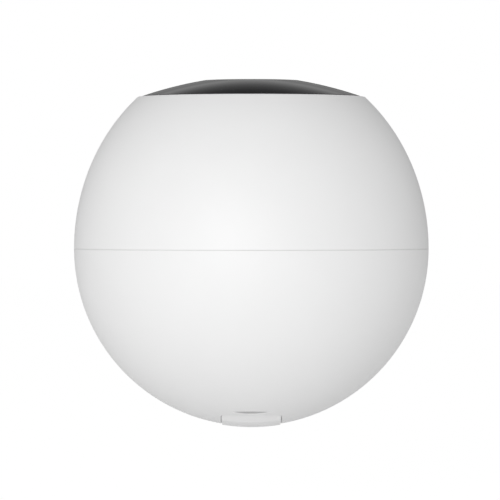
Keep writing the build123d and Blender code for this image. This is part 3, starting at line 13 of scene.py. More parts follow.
import bpy
import numpy as np
from mathutils import Euler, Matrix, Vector


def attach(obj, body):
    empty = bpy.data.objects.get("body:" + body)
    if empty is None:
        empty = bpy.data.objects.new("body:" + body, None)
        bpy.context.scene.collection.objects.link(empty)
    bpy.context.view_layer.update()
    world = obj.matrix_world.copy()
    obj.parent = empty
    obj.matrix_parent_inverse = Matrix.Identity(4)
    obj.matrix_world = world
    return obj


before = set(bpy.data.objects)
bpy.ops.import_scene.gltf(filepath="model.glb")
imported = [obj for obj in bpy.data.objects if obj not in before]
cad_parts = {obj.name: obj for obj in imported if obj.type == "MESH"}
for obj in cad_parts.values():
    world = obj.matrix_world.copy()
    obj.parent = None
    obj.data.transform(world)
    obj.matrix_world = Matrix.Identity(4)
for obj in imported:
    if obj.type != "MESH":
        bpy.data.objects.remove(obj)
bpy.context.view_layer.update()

MM = 0.001
FULL_TURN = 6.2832
SHARP_ANGLE = 35.0
LOG = logging.getLogger("camera_scene")
Colour = tuple[float, float, float]
Triple = tuple[float, float, float]
Stops = tuple[tuple[float, float], ...]
Number = Union["Signal", float]
WHITE: Colour = (1.0, 1.0, 1.0)


class Body(Enum):
    """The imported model's bodies that new pieces ride on."""

    CAMERA = "camera"
    FLAP = "port_flap"


class Axis(Enum):
    """An axis that a pattern runs along, with the stretch that draws it out."""

    X = (0.04, 1.0, 1.0)
    Y = (1.0, 0.04, 1.0)
    Z = (1.0, 1.0, 0.04)


def opaque(colour: Any) -> Any:
    """Gives a plain colour its fourth number. Links and other values pass as they are."""
    return (*colour, 1.0) if isinstance(colour, tuple) and len(colour) == 3 else colour


class Signal:
    """A socket that carries a number, with Python's operators as Math nodes."""

    def __init__(self, shader: "Shader", socket: bpy.types.NodeSocket) -> None:
        """Wraps a socket.

        Args:
            shader: The shader that the socket belongs to.
            socket: An output socket that carries a number.
        """
        self.shader = shader
        self.socket = socket

    def math(self, operation: str, *others: Number) -> "Signal":
        """Adds a Math node.

        Args:
            operation: Name of the node's operation.
            others: The operands after this one.

        Returns:
            The node's result.
        """
        values = dict(enumerate((self, *others)))
        node = self.shader.node("ShaderNodeMath", {"operation": operation}, values)
        return Signal(self.shader, node.outputs[0])

    def _reflected(self, operation: str, other: Number) -> "Signal":
        """Adds a Math node with this signal as its second operand."""
        node = self.shader.node("ShaderNodeMath", {"operation": operation}, {0: other, 1: self})
        return Signal(self.shader, node.outputs[0])

    def __add__(self, other: Number) -> "Signal":
        """Sum of two numbers."""
        return self.math("ADD", other)

    def __radd__(self, other: Number) -> "Signal":
        """Sum with a number on the left."""
        return self._reflected("ADD", other)

    def __sub__(self, other: Number) -> "Signal":
        """Difference of two numbers."""
        return self.math("SUBTRACT", other)

    def __rsub__(self, other: Number) -> "Signal":
        """Difference with a number on the left."""
        return self._reflected("SUBTRACT", other)

    def __mul__(self, other: Number) -> "Signal":
        """Product of two numbers."""
        return self.math("MULTIPLY", other)

    def __truediv__(self, other: Number) -> "Signal":
        """Quotient of two numbers."""
        return self.math("DIVIDE", other)

    def __lt__(self, other: Number) -> "Signal":
        """One where this signal is below the other, else nought."""
        return self.math("LESS_THAN", other)

    def __gt__(self, other: Number) -> "Signal":
        """One where this signal is above the other, else nought."""
        return self.math("GREATER_THAN", other)

    def clamped(self) -> "Signal":
        """The signal held between nought and one."""
        return self.math("MAXIMUM", 0.0).math("MINIMUM", 1.0)


class Shader:
    """The node tree of one material or of the world."""

    def __init__(self, tree: bpy.types.NodeTree) -> None:
        """Takes over a node tree and empties it.

        Args:
            tree: The tree to fill.
        """
        self.tree = tree
        self.tree.nodes.clear()
        self._place: bpy.types.NodeSocket | None = None

    def node(
        self,
        kind: str,
        settings: Mapping[str, Any] | None = None,
        inputs: Mapping[Any, Any] | None = None,
    ) -> bpy.types.Node:
        """Adds a node of any type.

        Args:
            kind: The node's type name.
            settings: Its own settings, set first. "stops" fills a colour ramp.
            inputs: Values or links of its sockets, by name or number.

        Returns:
            The new node.
        """
        made = self.tree.nodes.new(kind)
        for name, value in (settings or {}).items():
            if name == "stops":
                self._fill_ramp(made.color_ramp, value)
            else:
                setattr(made, name, value)
        for name, value in (inputs or {}).items():
            if isinstance(value, Signal):
                value = value.socket
            if isinstance(value, bpy.types.NodeSocket):
                self.tree.links.new(value, made.inputs[name])
            elif value is not None:
                made.inputs[name].default_value = value
        return made

    @staticmethod
    def _fill_ramp(ramp: bpy.types.ColorRamp, stops: Stops) -> None:
        """Gives a ramp its stops, each a place and a grey level."""
        for index, (place, level) in enumerate(stops):
            stop = ramp.elements[index] if index < 2 else ramp.elements.new(place)
            stop.position = place
            stop.color = (level, level, level, 1.0)

    def place(self) -> bpy.types.NodeSocket:
        """The place on the object, which is the place in the frame, in metres."""
        if self._place is None:
            self._place = self.node("ShaderNodeTexCoord").outputs["Object"]
        return self._place

    def mapped(self, stretch: Sequence[float]) -> bpy.types.NodeSocket:
        """The place, stretched by a factor along each axis."""
        inputs = {0: self.place(), 1: tuple(stretch)}
        node = self.node("ShaderNodeVectorMath", {"operation": "MULTIPLY"}, inputs)
        return node.outputs["Vector"]

    def parts(self, vector: bpy.types.NodeSocket) -> tuple[Signal, Signal, Signal]:
        """Splits a vector into its three numbers."""
        node = self.node("ShaderNodeSeparateXYZ", None, {0: vector})
        return tuple(Signal(self, out) for out in node.outputs)

    def noise(
        self, size: float, stretch: Sequence[float] = (1, 1, 1), detail: float = 2.0
    ) -> Signal:
        """Smooth noise.

        Args:
            size: Length of one wave of the noise.
            stretch: Factor along each axis, below one to draw the noise out.
            detail: Number of finer layers.

        Returns:
            The noise, around a half.
        """
        inputs = {"Vector": self.mapped(stretch), "Scale": 1 / size, "Detail": detail}
        return Signal(self, self.node("ShaderNodeTexNoise", None, inputs).outputs[0])

    def cells(self, size: float) -> Signal:
        """Distance to the points of a cell pattern, in shares of the cell size."""
        inputs = {"Vector": self.place(), "Scale": 1 / size}
        return Signal(self, self.node("ShaderNodeTexVoronoi", None, inputs).outputs["Distance"])

    def ramp(self, value: Signal, stops: Stops) -> Signal:
        """Bends a signal through grey stops."""
        node = self.node("ShaderNodeValToRGB", {"stops": stops}, {0: value})
        return Signal(self, node.outputs[0])

    def mix(self, share: Number, first: Any, second: Any) -> bpy.types.NodeSocket:
        """Mixes two colours.

        Args:
            share: Share of the second colour.
            first: Colour, or link of one.
            second: Colour, or link of one.

        Returns:
            The mixed colour.
        """
        inputs = {0: share, 6: opaque(first), 7: opaque(second)}
        return self.node("ShaderNodeMix", {"data_type": "RGBA"}, inputs).outputs[2]

    def relief(self, height: Signal, depth: float) -> bpy.types.NodeSocket:
        """Turns a height between nought and one into a normal.

        Args:
            height: The height.
            depth: Real depth that one stands for, in metres.

        Returns:
            The bent normal.
        """
        node = self.node("ShaderNodeBump", None, {"Distance": depth, "Height": height})
        return node.outputs["Normal"]

    def blend(self, share: Any, first: bpy.types.Node, second: bpy.types.Node) -> bpy.types.Node:
        """Mixes two surface shaders by the second one's share."""
        inputs = {0: share, 1: first.outputs[0], 2: second.outputs[0]}
        return self.node("ShaderNodeMixShader", None, inputs)

    def surface(self, inputs: Mapping[str, Any]) -> None:
        """Ends the tree in the standard surface shader.

        Args:
            inputs: Its sockets, by name.
        """
        shader = self.node("ShaderNodeBsdfPrincipled", None, inputs)
        self.node("ShaderNodeOutputMaterial", None, {"Surface": shader.outputs[0]})


@dataclass(frozen=True)
class Finish:
    """A surface finish, which paints one material."""

    name: str

    def material(self) -> bpy.types.Material:
        """Makes the material once and returns it."""
        found = bpy.data.materials.get(self.name + "_finish")
        if found is None:
            found = bpy.data.materials.new(self.name + "_finish")
            found.use_nodes = True
            self.paint(Shader(found.node_tree))
        return found

    def paint(self, shader: Shader) -> None:
        """Fills the shader. Each finish has its own."""
        raise NotImplementedError


@dataclass(frozen=True)
class Moulding(Finish):
    """Moulded plastic or rubber: an eroded grain, and gloss that drifts a little."""

    colour: Colour
    roughness: float = 0.5
    grain: float = 0.32 * MM
    depth: float = 0.006 * MM
    drift: float = 0.05
    tint: float = 0.02
    gloss: float = 0.5
    fine_share: float = 0.3
    grain_gloss: float = 0.08
    drift_size: float = 9 * MM

    def with_painted_shade(self, shader: Shader, colour: bpy.types.NodeSocket) -> bpy.types.NodeSocket:
        """The colour with the finish's painted shade, if it has any. Plain mouldings have none."""
        return colour

    def paint(self, shader: Shader) -> None:
        """Paints the grain and the drift.

        Grain is two noises, one three times as fine; the drift is a broad one.

        Args:
            shader: The shader to fill.
        """
        fine = shader.noise(self.grain / 3) * self.fine_share
        grain = shader.noise(self.grain) * (1 - self.fine_share) + fine
        broad = shader.noise(self.drift_size, detail=3.0)
        dark = tuple(c * (1 - self.tint) for c in self.colour)
        roughness = self.roughness + (broad - 0.5) * self.drift
        shader.surface(
            {
                # A finish may paint shade into the colour here.
                "Base Color": self.with_painted_shade(shader, shader.mix(broad, dark, self.colour)),
                "Roughness": roughness + (grain - 0.5) * self.grain_gloss,
                "Specular IOR Level": self.gloss,
                "Normal": shader.relief(grain, self.depth),
            }
        )


@dataclass(frozen=True)
class ShellPlastic(Moulding):
    """The shells' moulding, with shade painted into its colour down in the finger scoop and at the
    seam.
    """

    # Painted shade: the colour that the scoop and the seam are darkened towards.
    painted_shade_colour: Colour = (0.46, 0.46, 0.46)
    skin_radius: float = 39.97 * MM
    hollow_depth: float = 0.22 * MM
    reach_x: float = 5.2 * MM
    rear_y: float = -15.7 * MM
    front_y: float = -18.5 * MM
    top_z: float = -36.05 * MM
    seam_reach: float = 0.22 * MM
    seam_shade: float = 0.24

    def with_painted_shade(self, shader: Shader, colour: bpy.types.NodeSocket) -> bpy.types.NodeSocket:
        """Paints shade into the colour in the finger scoop and at the seam.

        The scoop's painted shade grows with the depth below the ball's skin, inside the scoop's
        box. The seam's painted shade grows towards the seam.

        Args:
            shader: The shader to add to.
            colour: The moulding's colour.

        Returns:
            The colour with the painted shade.
        """
        x, y, z = shader.parts(shader.place())
        distance = (x * x + y * y + z * z).math("SQRT")
        # Painted shade in the finger scoop: darker the deeper below the skin.
        depth = ((self.skin_radius - distance) / self.hollow_depth).clamped()
        inside = (y < self.rear_y) * (y > self.front_y) * (z < self.top_z)
        inside = inside * (x.math("ABSOLUTE") < self.reach_x)
        # Painted shade along the seam.
        line = (1 - z.math("ABSOLUTE") / self.seam_reach).clamped() * self.seam_shade
        return shader.mix((depth * inside).math("MAXIMUM", line), colour, self.painted_shade_colour)


@dataclass(frozen=True)
class GlossPlastic(Finish):
    """Polished moulding with a long, low ripple and faint smears."""

    colour: Colour
    roughness: float = 0.05
    ripple: float = 0.0004 * MM
    ripple_size: float = 5 * MM
    smear_size: float = 4 * MM
    smear_stretch: Triple = (1.0, 0.35, 1.0)
    smear_stops: Stops = ((0.45, 0.0), (0.8, 0.05))
    shade: float = 0.8

    def paint(self, shader: Shader) -> None:
        """The ripple is broad noise; the smears are drawn-out noise on the gloss."""
        smear = shader.noise(self.smear_size, self.smear_stretch, detail=4.0)
        dark = tuple(self.shade * c for c in self.colour)
        shader.surface(
            {
                "Base Color": shader.mix(smear, dark, self.colour),
                "Roughness": self.roughness + shader.ramp(smear, self.smear_stops),
                "Normal": shader.relief(shader.noise(self.ripple_size), self.ripple),
            }
        )


@dataclass(frozen=True)
class Glass(Finish):
    """Glass with a thin coating and a little dust."""

    tint: Colour
    coating: float = 0.0
    roughness: float = 0.01
    index: float = 1.5
    coating_index: float = 1.38
    dust: Colour = (0.5, 0.5, 0.5)
    dust_size: float = 0.6 * MM
    dust_stops: Stops = ((0.62, 0.0), (0.8, 1.0))
    dust_share: float = 0.1
    dust_gloss: float = 0.06

    def paint(self, shader: Shader) -> None:
        """Dust is the tops of fine noise, which roughens and greys the glass."""
        dust = shader.ramp(shader.noise(self.dust_size, detail=4.0), self.dust_stops)
        shader.surface(
            {
                "Base Color": shader.mix(dust * self.dust_share, self.tint, self.dust),
                "Roughness": self.roughness + dust * self.dust_gloss,
                "Transmission Weight": 1.0,
                "IOR": self.index,
                "Thin Film Thickness": self.coating,
                "Thin Film IOR": self.coating_index,
            }
        )


@dataclass(frozen=True)
class Metal(Finish):
    """Metal with fine tool marks along one axis and a little tarnish."""

    colour: Colour
    roughness: float = 0.28
    grain: Axis = Axis.X
    depth: float = 0.002 * MM
    tarnish: Colour = (0.3, 0.29, 0.27)
    mark_size: float = 0.12 * MM
    mark_gloss: float = 0.15
    patch_size: float = 2.5 * MM
    patch_stops: Stops = ((0.45, 0.0), (0.85, 0.5))
    patch_gloss: float = 0.2

    def paint(self, shader: Shader) -> None:
        """Marks are noise drawn out along the axis; tarnish is a broad noise."""
        marks = shader.noise(self.mark_size, self.grain.value, detail=3.0)
        patches = shader.ramp(shader.noise(self.patch_size, detail=5.0), self.patch_stops)
        roughness = self.roughness + (marks - 0.5) * self.mark_gloss
        shader.surface(
            {
                "Base Color": shader.mix(patches, self.colour, self.tarnish),
                "Metallic": 1.0,
                "Roughness": roughness + patches * self.patch_gloss,
                "Normal": shader.relief(marks, self.depth),
            }
        )


@dataclass(frozen=True)
class BoardMask(Finish):
    """A circuit board: tracks under the mask, and small plated holes."""

    mask: Colour
    track: Colour
    pitch: float = 0.55 * MM
    plating: Colour = (0.78, 0.6, 0.28)
    region_size: float = 6 * MM
    region_edge: float = 0.45
    band: tuple[float, float] = (0.32, 0.6)
    bare_size: float = 5 * MM
    bare_edge: float = 0.5
    via_pitch: float = 2.4 * MM
    via_reach: float = 0.1
    roughness: float = 0.34
    track_gloss: float = 0.06
    weave_size: float = 0.3 * MM
    weave_gloss: float = 0.1
    via_metal: float = 0.9
    depth: float = 0.03 * MM

    def paint(self, shader: Shader) -> None:
        """Draws the tracks and the vias.

        Tracks are bands of the place over the pitch, across X or Y depending on a
        coarse cell pattern, and broad noise leaves parts bare. Vias are the middles of
        a finer cell pattern.

        Args:
            shader: The shader to fill.
        """
        x, y, _ = shader.parts(shader.place())
        region = shader.cells(self.region_size)
        across = (x + (region > self.region_edge) * (y - x)) / self.pitch
        place = across.math("FRACT")
        low, high = self.band
        track = (place > low) * (place < high) * (shader.noise(self.bare_size) > self.bare_edge)
        via = shader.cells(self.via_pitch) < self.via_reach
        tracked = shader.mix(track, self.mask, self.track)
        weave = (shader.noise(self.weave_size) - 0.5) * self.weave_gloss
        shader.surface(
            {
                "Base Color": shader.mix(via, tracked, self.plating),
                "Metallic": via * self.via_metal,
                "Roughness": self.roughness - track * self.track_gloss + weave,
                "Normal": shader.relief((track + via).clamped(), self.depth),
            }
        )


@dataclass(frozen=True)
class ShrinkSleeve(Finish):
    """Shrunk plastic film: glossy, with soft wrinkles along the cell."""

    colour: Colour
    band: Colour
    band_ends: tuple[float, float] = (19.5 * MM, 21.5 * MM)
    wrinkle_size: float = 1.6 * MM
    wrinkle_stretch: Triple = (0.25, 1.0, 1.0)
    wrinkle_gloss: float = 0.12
    roughness: float = 0.22
    depth: float = 0.05 * MM

    def paint(self, shader: Shader) -> None:
        """Wrinkles are noise drawn out along X; a plain band marks one end."""
        x, _, _ = shader.parts(shader.place())
        wrinkle = shader.noise(self.wrinkle_size, self.wrinkle_stretch, detail=3.0)
        start, end = self.band_ends
        banded = (x > start) * (x < end)
        shader.surface(
            {
                "Base Color": shader.mix(banded, self.colour, self.band),
                "Roughness": self.roughness + (wrinkle - 0.5) * self.wrinkle_gloss,
                "Normal": shader.relief(wrinkle, self.depth),
            }
        )


@dataclass(frozen=True)
class Foam(Finish):
    """Foam or soft pad with open pores."""

    colour: Colour
    pore: float = 0.35 * MM
    roughness: float = 0.85
    pore_stops: Stops = ((0.1, 0.0), (0.55, 1.0))
    # Share of the colour left in the pores by the painted shade.
    shade: float = 0.45
    depth: float = 0.06 * MM

    def paint(self, shader: Shader) -> None:
        """Pores are the cores of a cell pattern, lower, with shade painted into their colour."""
        pore = shader.ramp(shader.cells(self.pore), self.pore_stops)
        # Painted shade: the pores are darkened by the shade factor.
        pore_shade_colour = tuple(self.shade * c for c in self.colour)
        shader.surface(
            {
                "Base Color": shader.mix(pore, pore_shade_colour, self.colour),
                "Roughness": self.roughness,
                "Normal": shader.relief(pore, self.depth),
            }
        )


@dataclass(frozen=True)
class Striped(Finish):
    """Parallel lines across one axis: conductors in a ribbon, or turns of wire."""

    base: Colour
    line: Colour
    across: Axis
    pitch: float
    depth: float
    metallic: float = 0.0
    roughness: float = 0.35
    line_stops: Stops = ((0.35, 0.0), (0.65, 1.0))
    smear_size: float = 0.8 * MM
    smear_gloss: float = 0.12

    def paint(self, shader: Shader) -> None:
        """Paints the lines, each a rounded ridge.

        The height is the sine of a full turn times the place across, over the pitch.

        Args:
            shader: The shader to fill.
        """
        places = shader.parts(shader.place())
        across = places[[Axis.X, Axis.Y, Axis.Z].index(self.across)]
        wave = (across * (FULL_TURN / self.pitch)).math("SINE") * 0.5 + 0.5
        lines = shader.ramp(wave, self.line_stops)
        smear = (shader.noise(self.smear_size) - 0.5) * self.smear_gloss
        shader.surface(
            {
                "Base Color": shader.mix(lines, self.base, self.line),
                "Metallic": self.metallic,
                "Roughness": self.roughness + smear,
                "Normal": shader.relief(wave, self.depth),
            }
        )


@dataclass(frozen=True)
class Fibrous(Finish):
    """Pressed paper with short fibres."""

    colour: Colour
    fibre_size: float = 0.25 * MM
    stretch: float = 0.12
    lift: float = 1.8
    roughness: float = 0.8
    depth: float = 0.03 * MM

    def paint(self, shader: Shader) -> None:
        """Fibres are two fields of drawn-out noise that cross each other."""
        upright = shader.noise(self.fibre_size, (1.0, 1.0, self.stretch))
        level = shader.noise(self.fibre_size, (self.stretch, 1.0, 1.0))
        fibre = upright * 0.5 + level * 0.5
        light = tuple(self.lift * c for c in self.colour)
        shader.surface(
            {
                "Base Color": shader.mix(fibre, self.colour, light),
                "Roughness": self.roughness,
                "Normal": shader.relief(fibre, self.depth),
            }
        )


@dataclass(frozen=True)
class TwoLeads(Finish):
    """Insulated leads, one colour on each side of the object."""

    near: Colour
    far: Colour
    skin_size: float = 0.15 * MM
    skin_gloss: float = 0.15
    roughness: float = 0.42
    depth: float = 0.004 * MM

    def paint(self, shader: Shader) -> None:
        """The side is the sign of Y; the sleeve has a fine matt skin."""
        _, y, _ = shader.parts(shader.place())
        skin = shader.noise(self.skin_size)
        shader.surface(
            {
                "Base Color": shader.mix(y > 0.0, self.near, self.far),
                "Roughness": self.roughness + (skin - 0.5) * self.skin_gloss,
                "Normal": shader.relief(skin, self.depth),
            }
        )


@dataclass(frozen=True)
class LedPackage(Finish):
    """A pale ceramic base under a dome of amber resin."""

    base_top: float
    base: Colour = (0.86, 0.84, 0.78)
    dome: Colour = (0.62, 0.5, 0.28)
    base_roughness: float = 0.5
    dome_roughness: float = 0.08
    speck_size: float = 0.2 * MM
    speck_gloss: float = 0.06
    depth: float = 0.003 * MM

    def paint(self, shader: Shader) -> None:
        """Paints ceramic below the base's top and glossy resin above it.

        Args:
            shader: The shader to fill.
        """
        _, _, z = shader.parts(shader.place())
        resin = z > self.base_top
        speck = shader.noise(self.speck_size)
        smooth = resin * (self.base_roughness - self.dome_roughness)
        shader.surface(
            {
                "Base Color": shader.mix(resin, self.base, self.dome),
                "Roughness": self.base_roughness - smooth + (speck - 0.5) * self.speck_gloss,
                "Coat Weight": resin,
                "Normal": shader.relief(speck, self.depth),
            }
        )


@dataclass(frozen=True)
class Paper(Finish):
    """The floor: white to the camera, with the object's faint shadow on it."""

    colour: Colour = (0.82, 0.82, 0.82)
    glow: float = 1.06
    seen_glow: float = 0.9
    bounce: float = 0.24
    tooth_size: float = 1.2 * MM
    tooth_share: float = 0.02

    def paint(self, shader: Shader) -> None:
        """Mixes the sheet with its glow, more of it for the camera.

        From underneath the sheet is clear, so that it never hides the object.

        Args:
            shader: The shader to fill.
        """
        tooth = shader.noise(self.tooth_size, detail=4.0)
        pale = shader.mix(tooth * self.tooth_share, self.colour, WHITE)
        sheet = shader.node("ShaderNodeBsdfDiffuse", None, {"Color": pale})
        white = {"Color": opaque(WHITE), "Strength": self.glow}
        glow = shader.node("ShaderNodeEmission", None, white)
        camera = Signal(shader, shader.node("ShaderNodeLightPath").outputs["Is Camera Ray"])
        share = self.bounce + camera * (self.seen_glow - self.bounce)
        lit = shader.blend(share, sheet, glow)
        clear = shader.node("ShaderNodeBsdfTransparent")
        behind = shader.node("ShaderNodeNewGeometry").outputs["Backfacing"]
        mixed = shader.blend(behind, lit, clear)
        shader.node("ShaderNodeOutputMaterial", None, {"Surface": mixed.outputs[0]})


WHITE_PLASTIC = ShellPlastic("white_plastic", (0.86, 0.86, 0.86), 0.52)
PORT_RUBBER = Moulding("port_rubber", (0.9, 0.9, 0.9), 0.62, 0.24 * MM, 0.008 * MM, gloss=0.35)
BLACK_FACE = GlossPlastic("black_face", (0.012, 0.012, 0.0135))
WINDOW_GLASS = Glass("window_glass", (0.42, 0.42, 0.45))
LENS_GLASS = Glass("lens_glass", (0.8, 0.83, 0.92), 420.0)
DAY_GLASS = Glass("day_glass", (0.5, 0.85, 0.82), 300.0)
NIGHT_GLASS = Glass("night_glass", (0.93, 0.94, 0.95))
BLACK_PLASTIC = Moulding("black_plastic", (0.025, 0.025, 0.027), 0.5, 0.2 * MM, 0.005 * MM)
GREY_PLASTIC = Moulding("grey_plastic", (0.24, 0.25, 0.26), 0.5, 0.25 * MM, 0.006 * MM, tint=0.08)
IVORY_PLASTIC = Moulding("ivory_plastic", (0.76, 0.73, 0.62), 0.4, 0.15 * MM, 0.003 * MM, tint=0.05)
CHIP_PACKAGE = Moulding("chip_package", (0.035, 0.035, 0.038), 0.6, 0.1 * MM, 0.004 * MM, tint=0.2)
GREEN_BOARD = BoardMask("green_board", (0.008, 0.13, 0.05), (0.02, 0.24, 0.1))
BLACK_BOARD = BoardMask("black_board", (0.014, 0.014, 0.016), (0.04, 0.04, 0.042))
ALUMINIUM = Metal("aluminium", (0.8, 0.8, 0.82), 0.32, Axis.X)
TINPLATE = Metal("tinplate", (0.72, 0.72, 0.71), 0.3, Axis.Y)
SCREW_STEEL = Metal("screw_steel", (0.6, 0.6, 0.6), 0.3, Axis.Z)
MAGNET = Metal("magnet", (0.62, 0.62, 0.63), 0.22, Axis.Y)
NICKEL = Metal("nickel", (0.76, 0.75, 0.72), 0.16, Axis.Z)
BRASS = Metal("brass", (0.78, 0.6, 0.3), 0.24, Axis.X, tarnish=(0.35, 0.22, 0.08))
WINDING = Striped(
    "winding", (0.25, 0.1, 0.04), (0.8, 0.4, 0.18), Axis.X, 0.16 * MM, 0.06 * MM, 1.0, 0.25
)
SLEEVE = ShrinkSleeve("sleeve", (0.03, 0.14, 0.42), (0.8, 0.8, 0.78))
SILICONE = Moulding("silicone", (0.05, 0.05, 0.05), 0.6, 0.2 * MM, 0.006 * MM, gloss=0.3)
BLACK_FOAM = Foam("black_foam", (0.045, 0.045, 0.045))
THERMAL_PAD = Foam("thermal_pad", (0.5, 0.55, 0.6), 0.5 * MM, 0.7)
RING_RIBBON = Striped(
    "ring_ribbon", (0.84, 0.83, 0.78), (0.55, 0.5, 0.4), Axis.Y, 0.5 * MM, 0.01 * MM
)
PORT_RIBBON = Striped(
    "port_ribbon", (0.84, 0.83, 0.78), (0.55, 0.5, 0.4), Axis.X, 0.5 * MM, 0.01 * MM
)
LEADS = TwoLeads("leads", (0.03, 0.03, 0.03), (0.55, 0.03, 0.025))
LED = LedPackage("led", 31.6 * MM)
CONE_PAPER = Fibrous("cone_paper", (0.05, 0.05, 0.05))
WASHER_PAPER = Fibrous("washer_paper", (0.42, 0.42, 0.4))
GOLD = Metal("gold", (0.95, 0.72, 0.32), 0.18, Axis.Z, tarnish=(0.6, 0.42, 0.16))
CERAMIC = Moulding("ceramic", (0.45, 0.33, 0.22), 0.45, 0.08 * MM, 0.002 * MM, tint=0.2)
DUST_CLOTH = Striped(
    "dust_cloth", (0.01, 0.01, 0.01), (0.05, 0.05, 0.05), Axis.X, 0.3 * MM, 0.05 * MM, 0.0, 0.85
)


def dress(finish: Finish, *nodes: str) -> None:
    """Gives CAD nodes their finish.

    Args:
        finish: The finish to give them.
        nodes: The nodes' names.
    """
    for node in nodes:
        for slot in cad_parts[node].material_slots:
            slot.material = finish.material()


def round_turn(columns: int) -> np.ndarray:
    """Angles that go once round, without the one that would repeat the first."""
    return np.linspace(0.0, 2 * np.pi, columns, endpoint=False)


def bent(value: np.ndarray, power: float) -> np.ndarray:
    """The value's size raised to a power, with its sign kept."""
    return np.sign(value) * np.abs(value) ** power


def unit(axis: str) -> np.ndarray:
    """The unit vector along "x", "y" or "z"."""
    return np.eye(3)["xyz".index(axis)]


@dataclass(frozen=True)
class Skin:
    """A closed surface on a grid of points, whose columns run round it.

    Attributes:
        points: Rows by columns of points. The last column joins the first.
        loop: Whether the last row joins the first, as on a ring. Otherwise each end
            row is closed by one more point in its middle.
    """

    points: np.ndarray
    loop: bool = False

    def mesh(self) -> tuple[np.ndarray, np.ndarray]:
        """Vertices and triangles, faced outwards.

        Each grid cell between a row and the next is cut into two triangles; an open
        end is a fan. The faces are turned over if they enclose a negative volume, a
        sixth of the sum of each first corner dotted with the cross of the other two.

        Returns:
            The vertices and the corners of the triangles.
        """
        rows, columns, _ = self.points.shape
        index = np.arange(rows * columns).reshape(rows, columns)
        below = index if self.loop else index[:-1]
        above = np.roll(index, -1, axis=0) if self.loop else index[1:]
        corners = [below, np.roll(below, -1, 1), np.roll(above, -1, 1), above]
        a, b, c, d = (part.ravel() for part in corners)
        faces = [np.stack((a, b, c), 1), np.stack((a, c, d), 1)]
        vertices = [self.points.reshape(-1, 3)]
        if not self.loop:
            for turn, (end, row) in enumerate(((0, index[0]), (1, index[-1]))):
                pole = np.full(columns, rows * columns + end)
                pair = (row, np.roll(row, -1)) if turn else (np.roll(row, -1), row)
                faces.append(np.stack((*pair, pole), 1))
                vertices.append(self.points[-end].mean(0)[None])
        vertices, faces = np.concatenate(vertices), np.concatenate(faces)
        one, two, three = (vertices[faces[:, k]] for k in range(3))
        if np.sum(one * np.cross(two, three)) < 0:
            faces = faces[:, ::-1]
        return vertices, faces


def make_piece(
    name: str,
    skins: Sequence[Skin],
    finish: Finish,
    body: Body = Body.CAMERA,
) -> None:
    """Makes one new piece out of closed surfaces.

    Args:
        name: The piece's name.
        skins: Its surfaces, in metres in the frame.
        finish: Its finish.
        body: The body that it rides on.
    """
    vertices, faces, start = [], [], 0
    for skin in skins:
        points, corners = skin.mesh()
        vertices.append(points)
        faces.append(corners + start)
        start += len(points)
    mesh = bpy.data.meshes.new(name)
    mesh.from_pydata(np.concatenate(vertices).tolist(), [], np.concatenate(faces).tolist())
    mesh.materials.append(finish.material())
    mesh.shade_smooth()
    mesh.set_sharp_from_angle(angle=np.radians(SHARP_ANGLE))
    piece = bpy.data.objects.new(name, mesh)
    bpy.context.scene.collection.objects.link(piece)
    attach(piece, body.value)


def turned(
    profile: np.ndarray,
    origin: Sequence[float],
    axis: np.ndarray,
    side: np.ndarray,
    columns: int,
) -> np.ndarray:
    """Turns a profile of radii and heights about an axis.

    A point is the origin, plus its height along the axis, plus its radius times the
    cosine of the angle along the side and the sine of it square to both.

    Args:
        profile: Rows of a radius and a height.
        origin: Foot of the axis.
        axis: Unit vector of the axis.
        side: Unit vector square to the axis.
        columns: Number of points round the axis.

    Returns:
        The grid of points.
    """
    angle = round_turn(columns)[None, :, None]
    across = np.cos(angle) * side + np.sin(angle) * np.cross(axis, side)
    radius, height = profile[:, 0, None, None], profile[:, 1, None, None]
    return np.asarray(origin) + height * axis + radius * across


def rounded_bar(centre: Sequence[float], half: Sequence[float], power: float) -> Skin:
    """A small block with rounded edges.

    It is a ball whose sines and cosines are raised to a power below one, which pushes
    its surface out towards the corners of its box.

    Args:
        centre: Its middle.
        half: Its half sizes.
        power: The power.

    Returns:
        The closed surface.
    """
    rows, columns = 14, 24
    tilt = np.linspace(-np.pi / 2, np.pi / 2, rows)[1:-1, None]
    turn = round_turn(columns)[None, :]
    out = bent(np.cos(tilt), power)
    ball = np.stack(
        (
            out * bent(np.cos(turn), power),
            out * bent(np.sin(turn), power),
            bent(np.sin(tilt), power) * np.ones_like(turn),
        ),
        axis=-1,
    )
    return Skin(np.asarray(centre) + np.asarray(half) * ball)


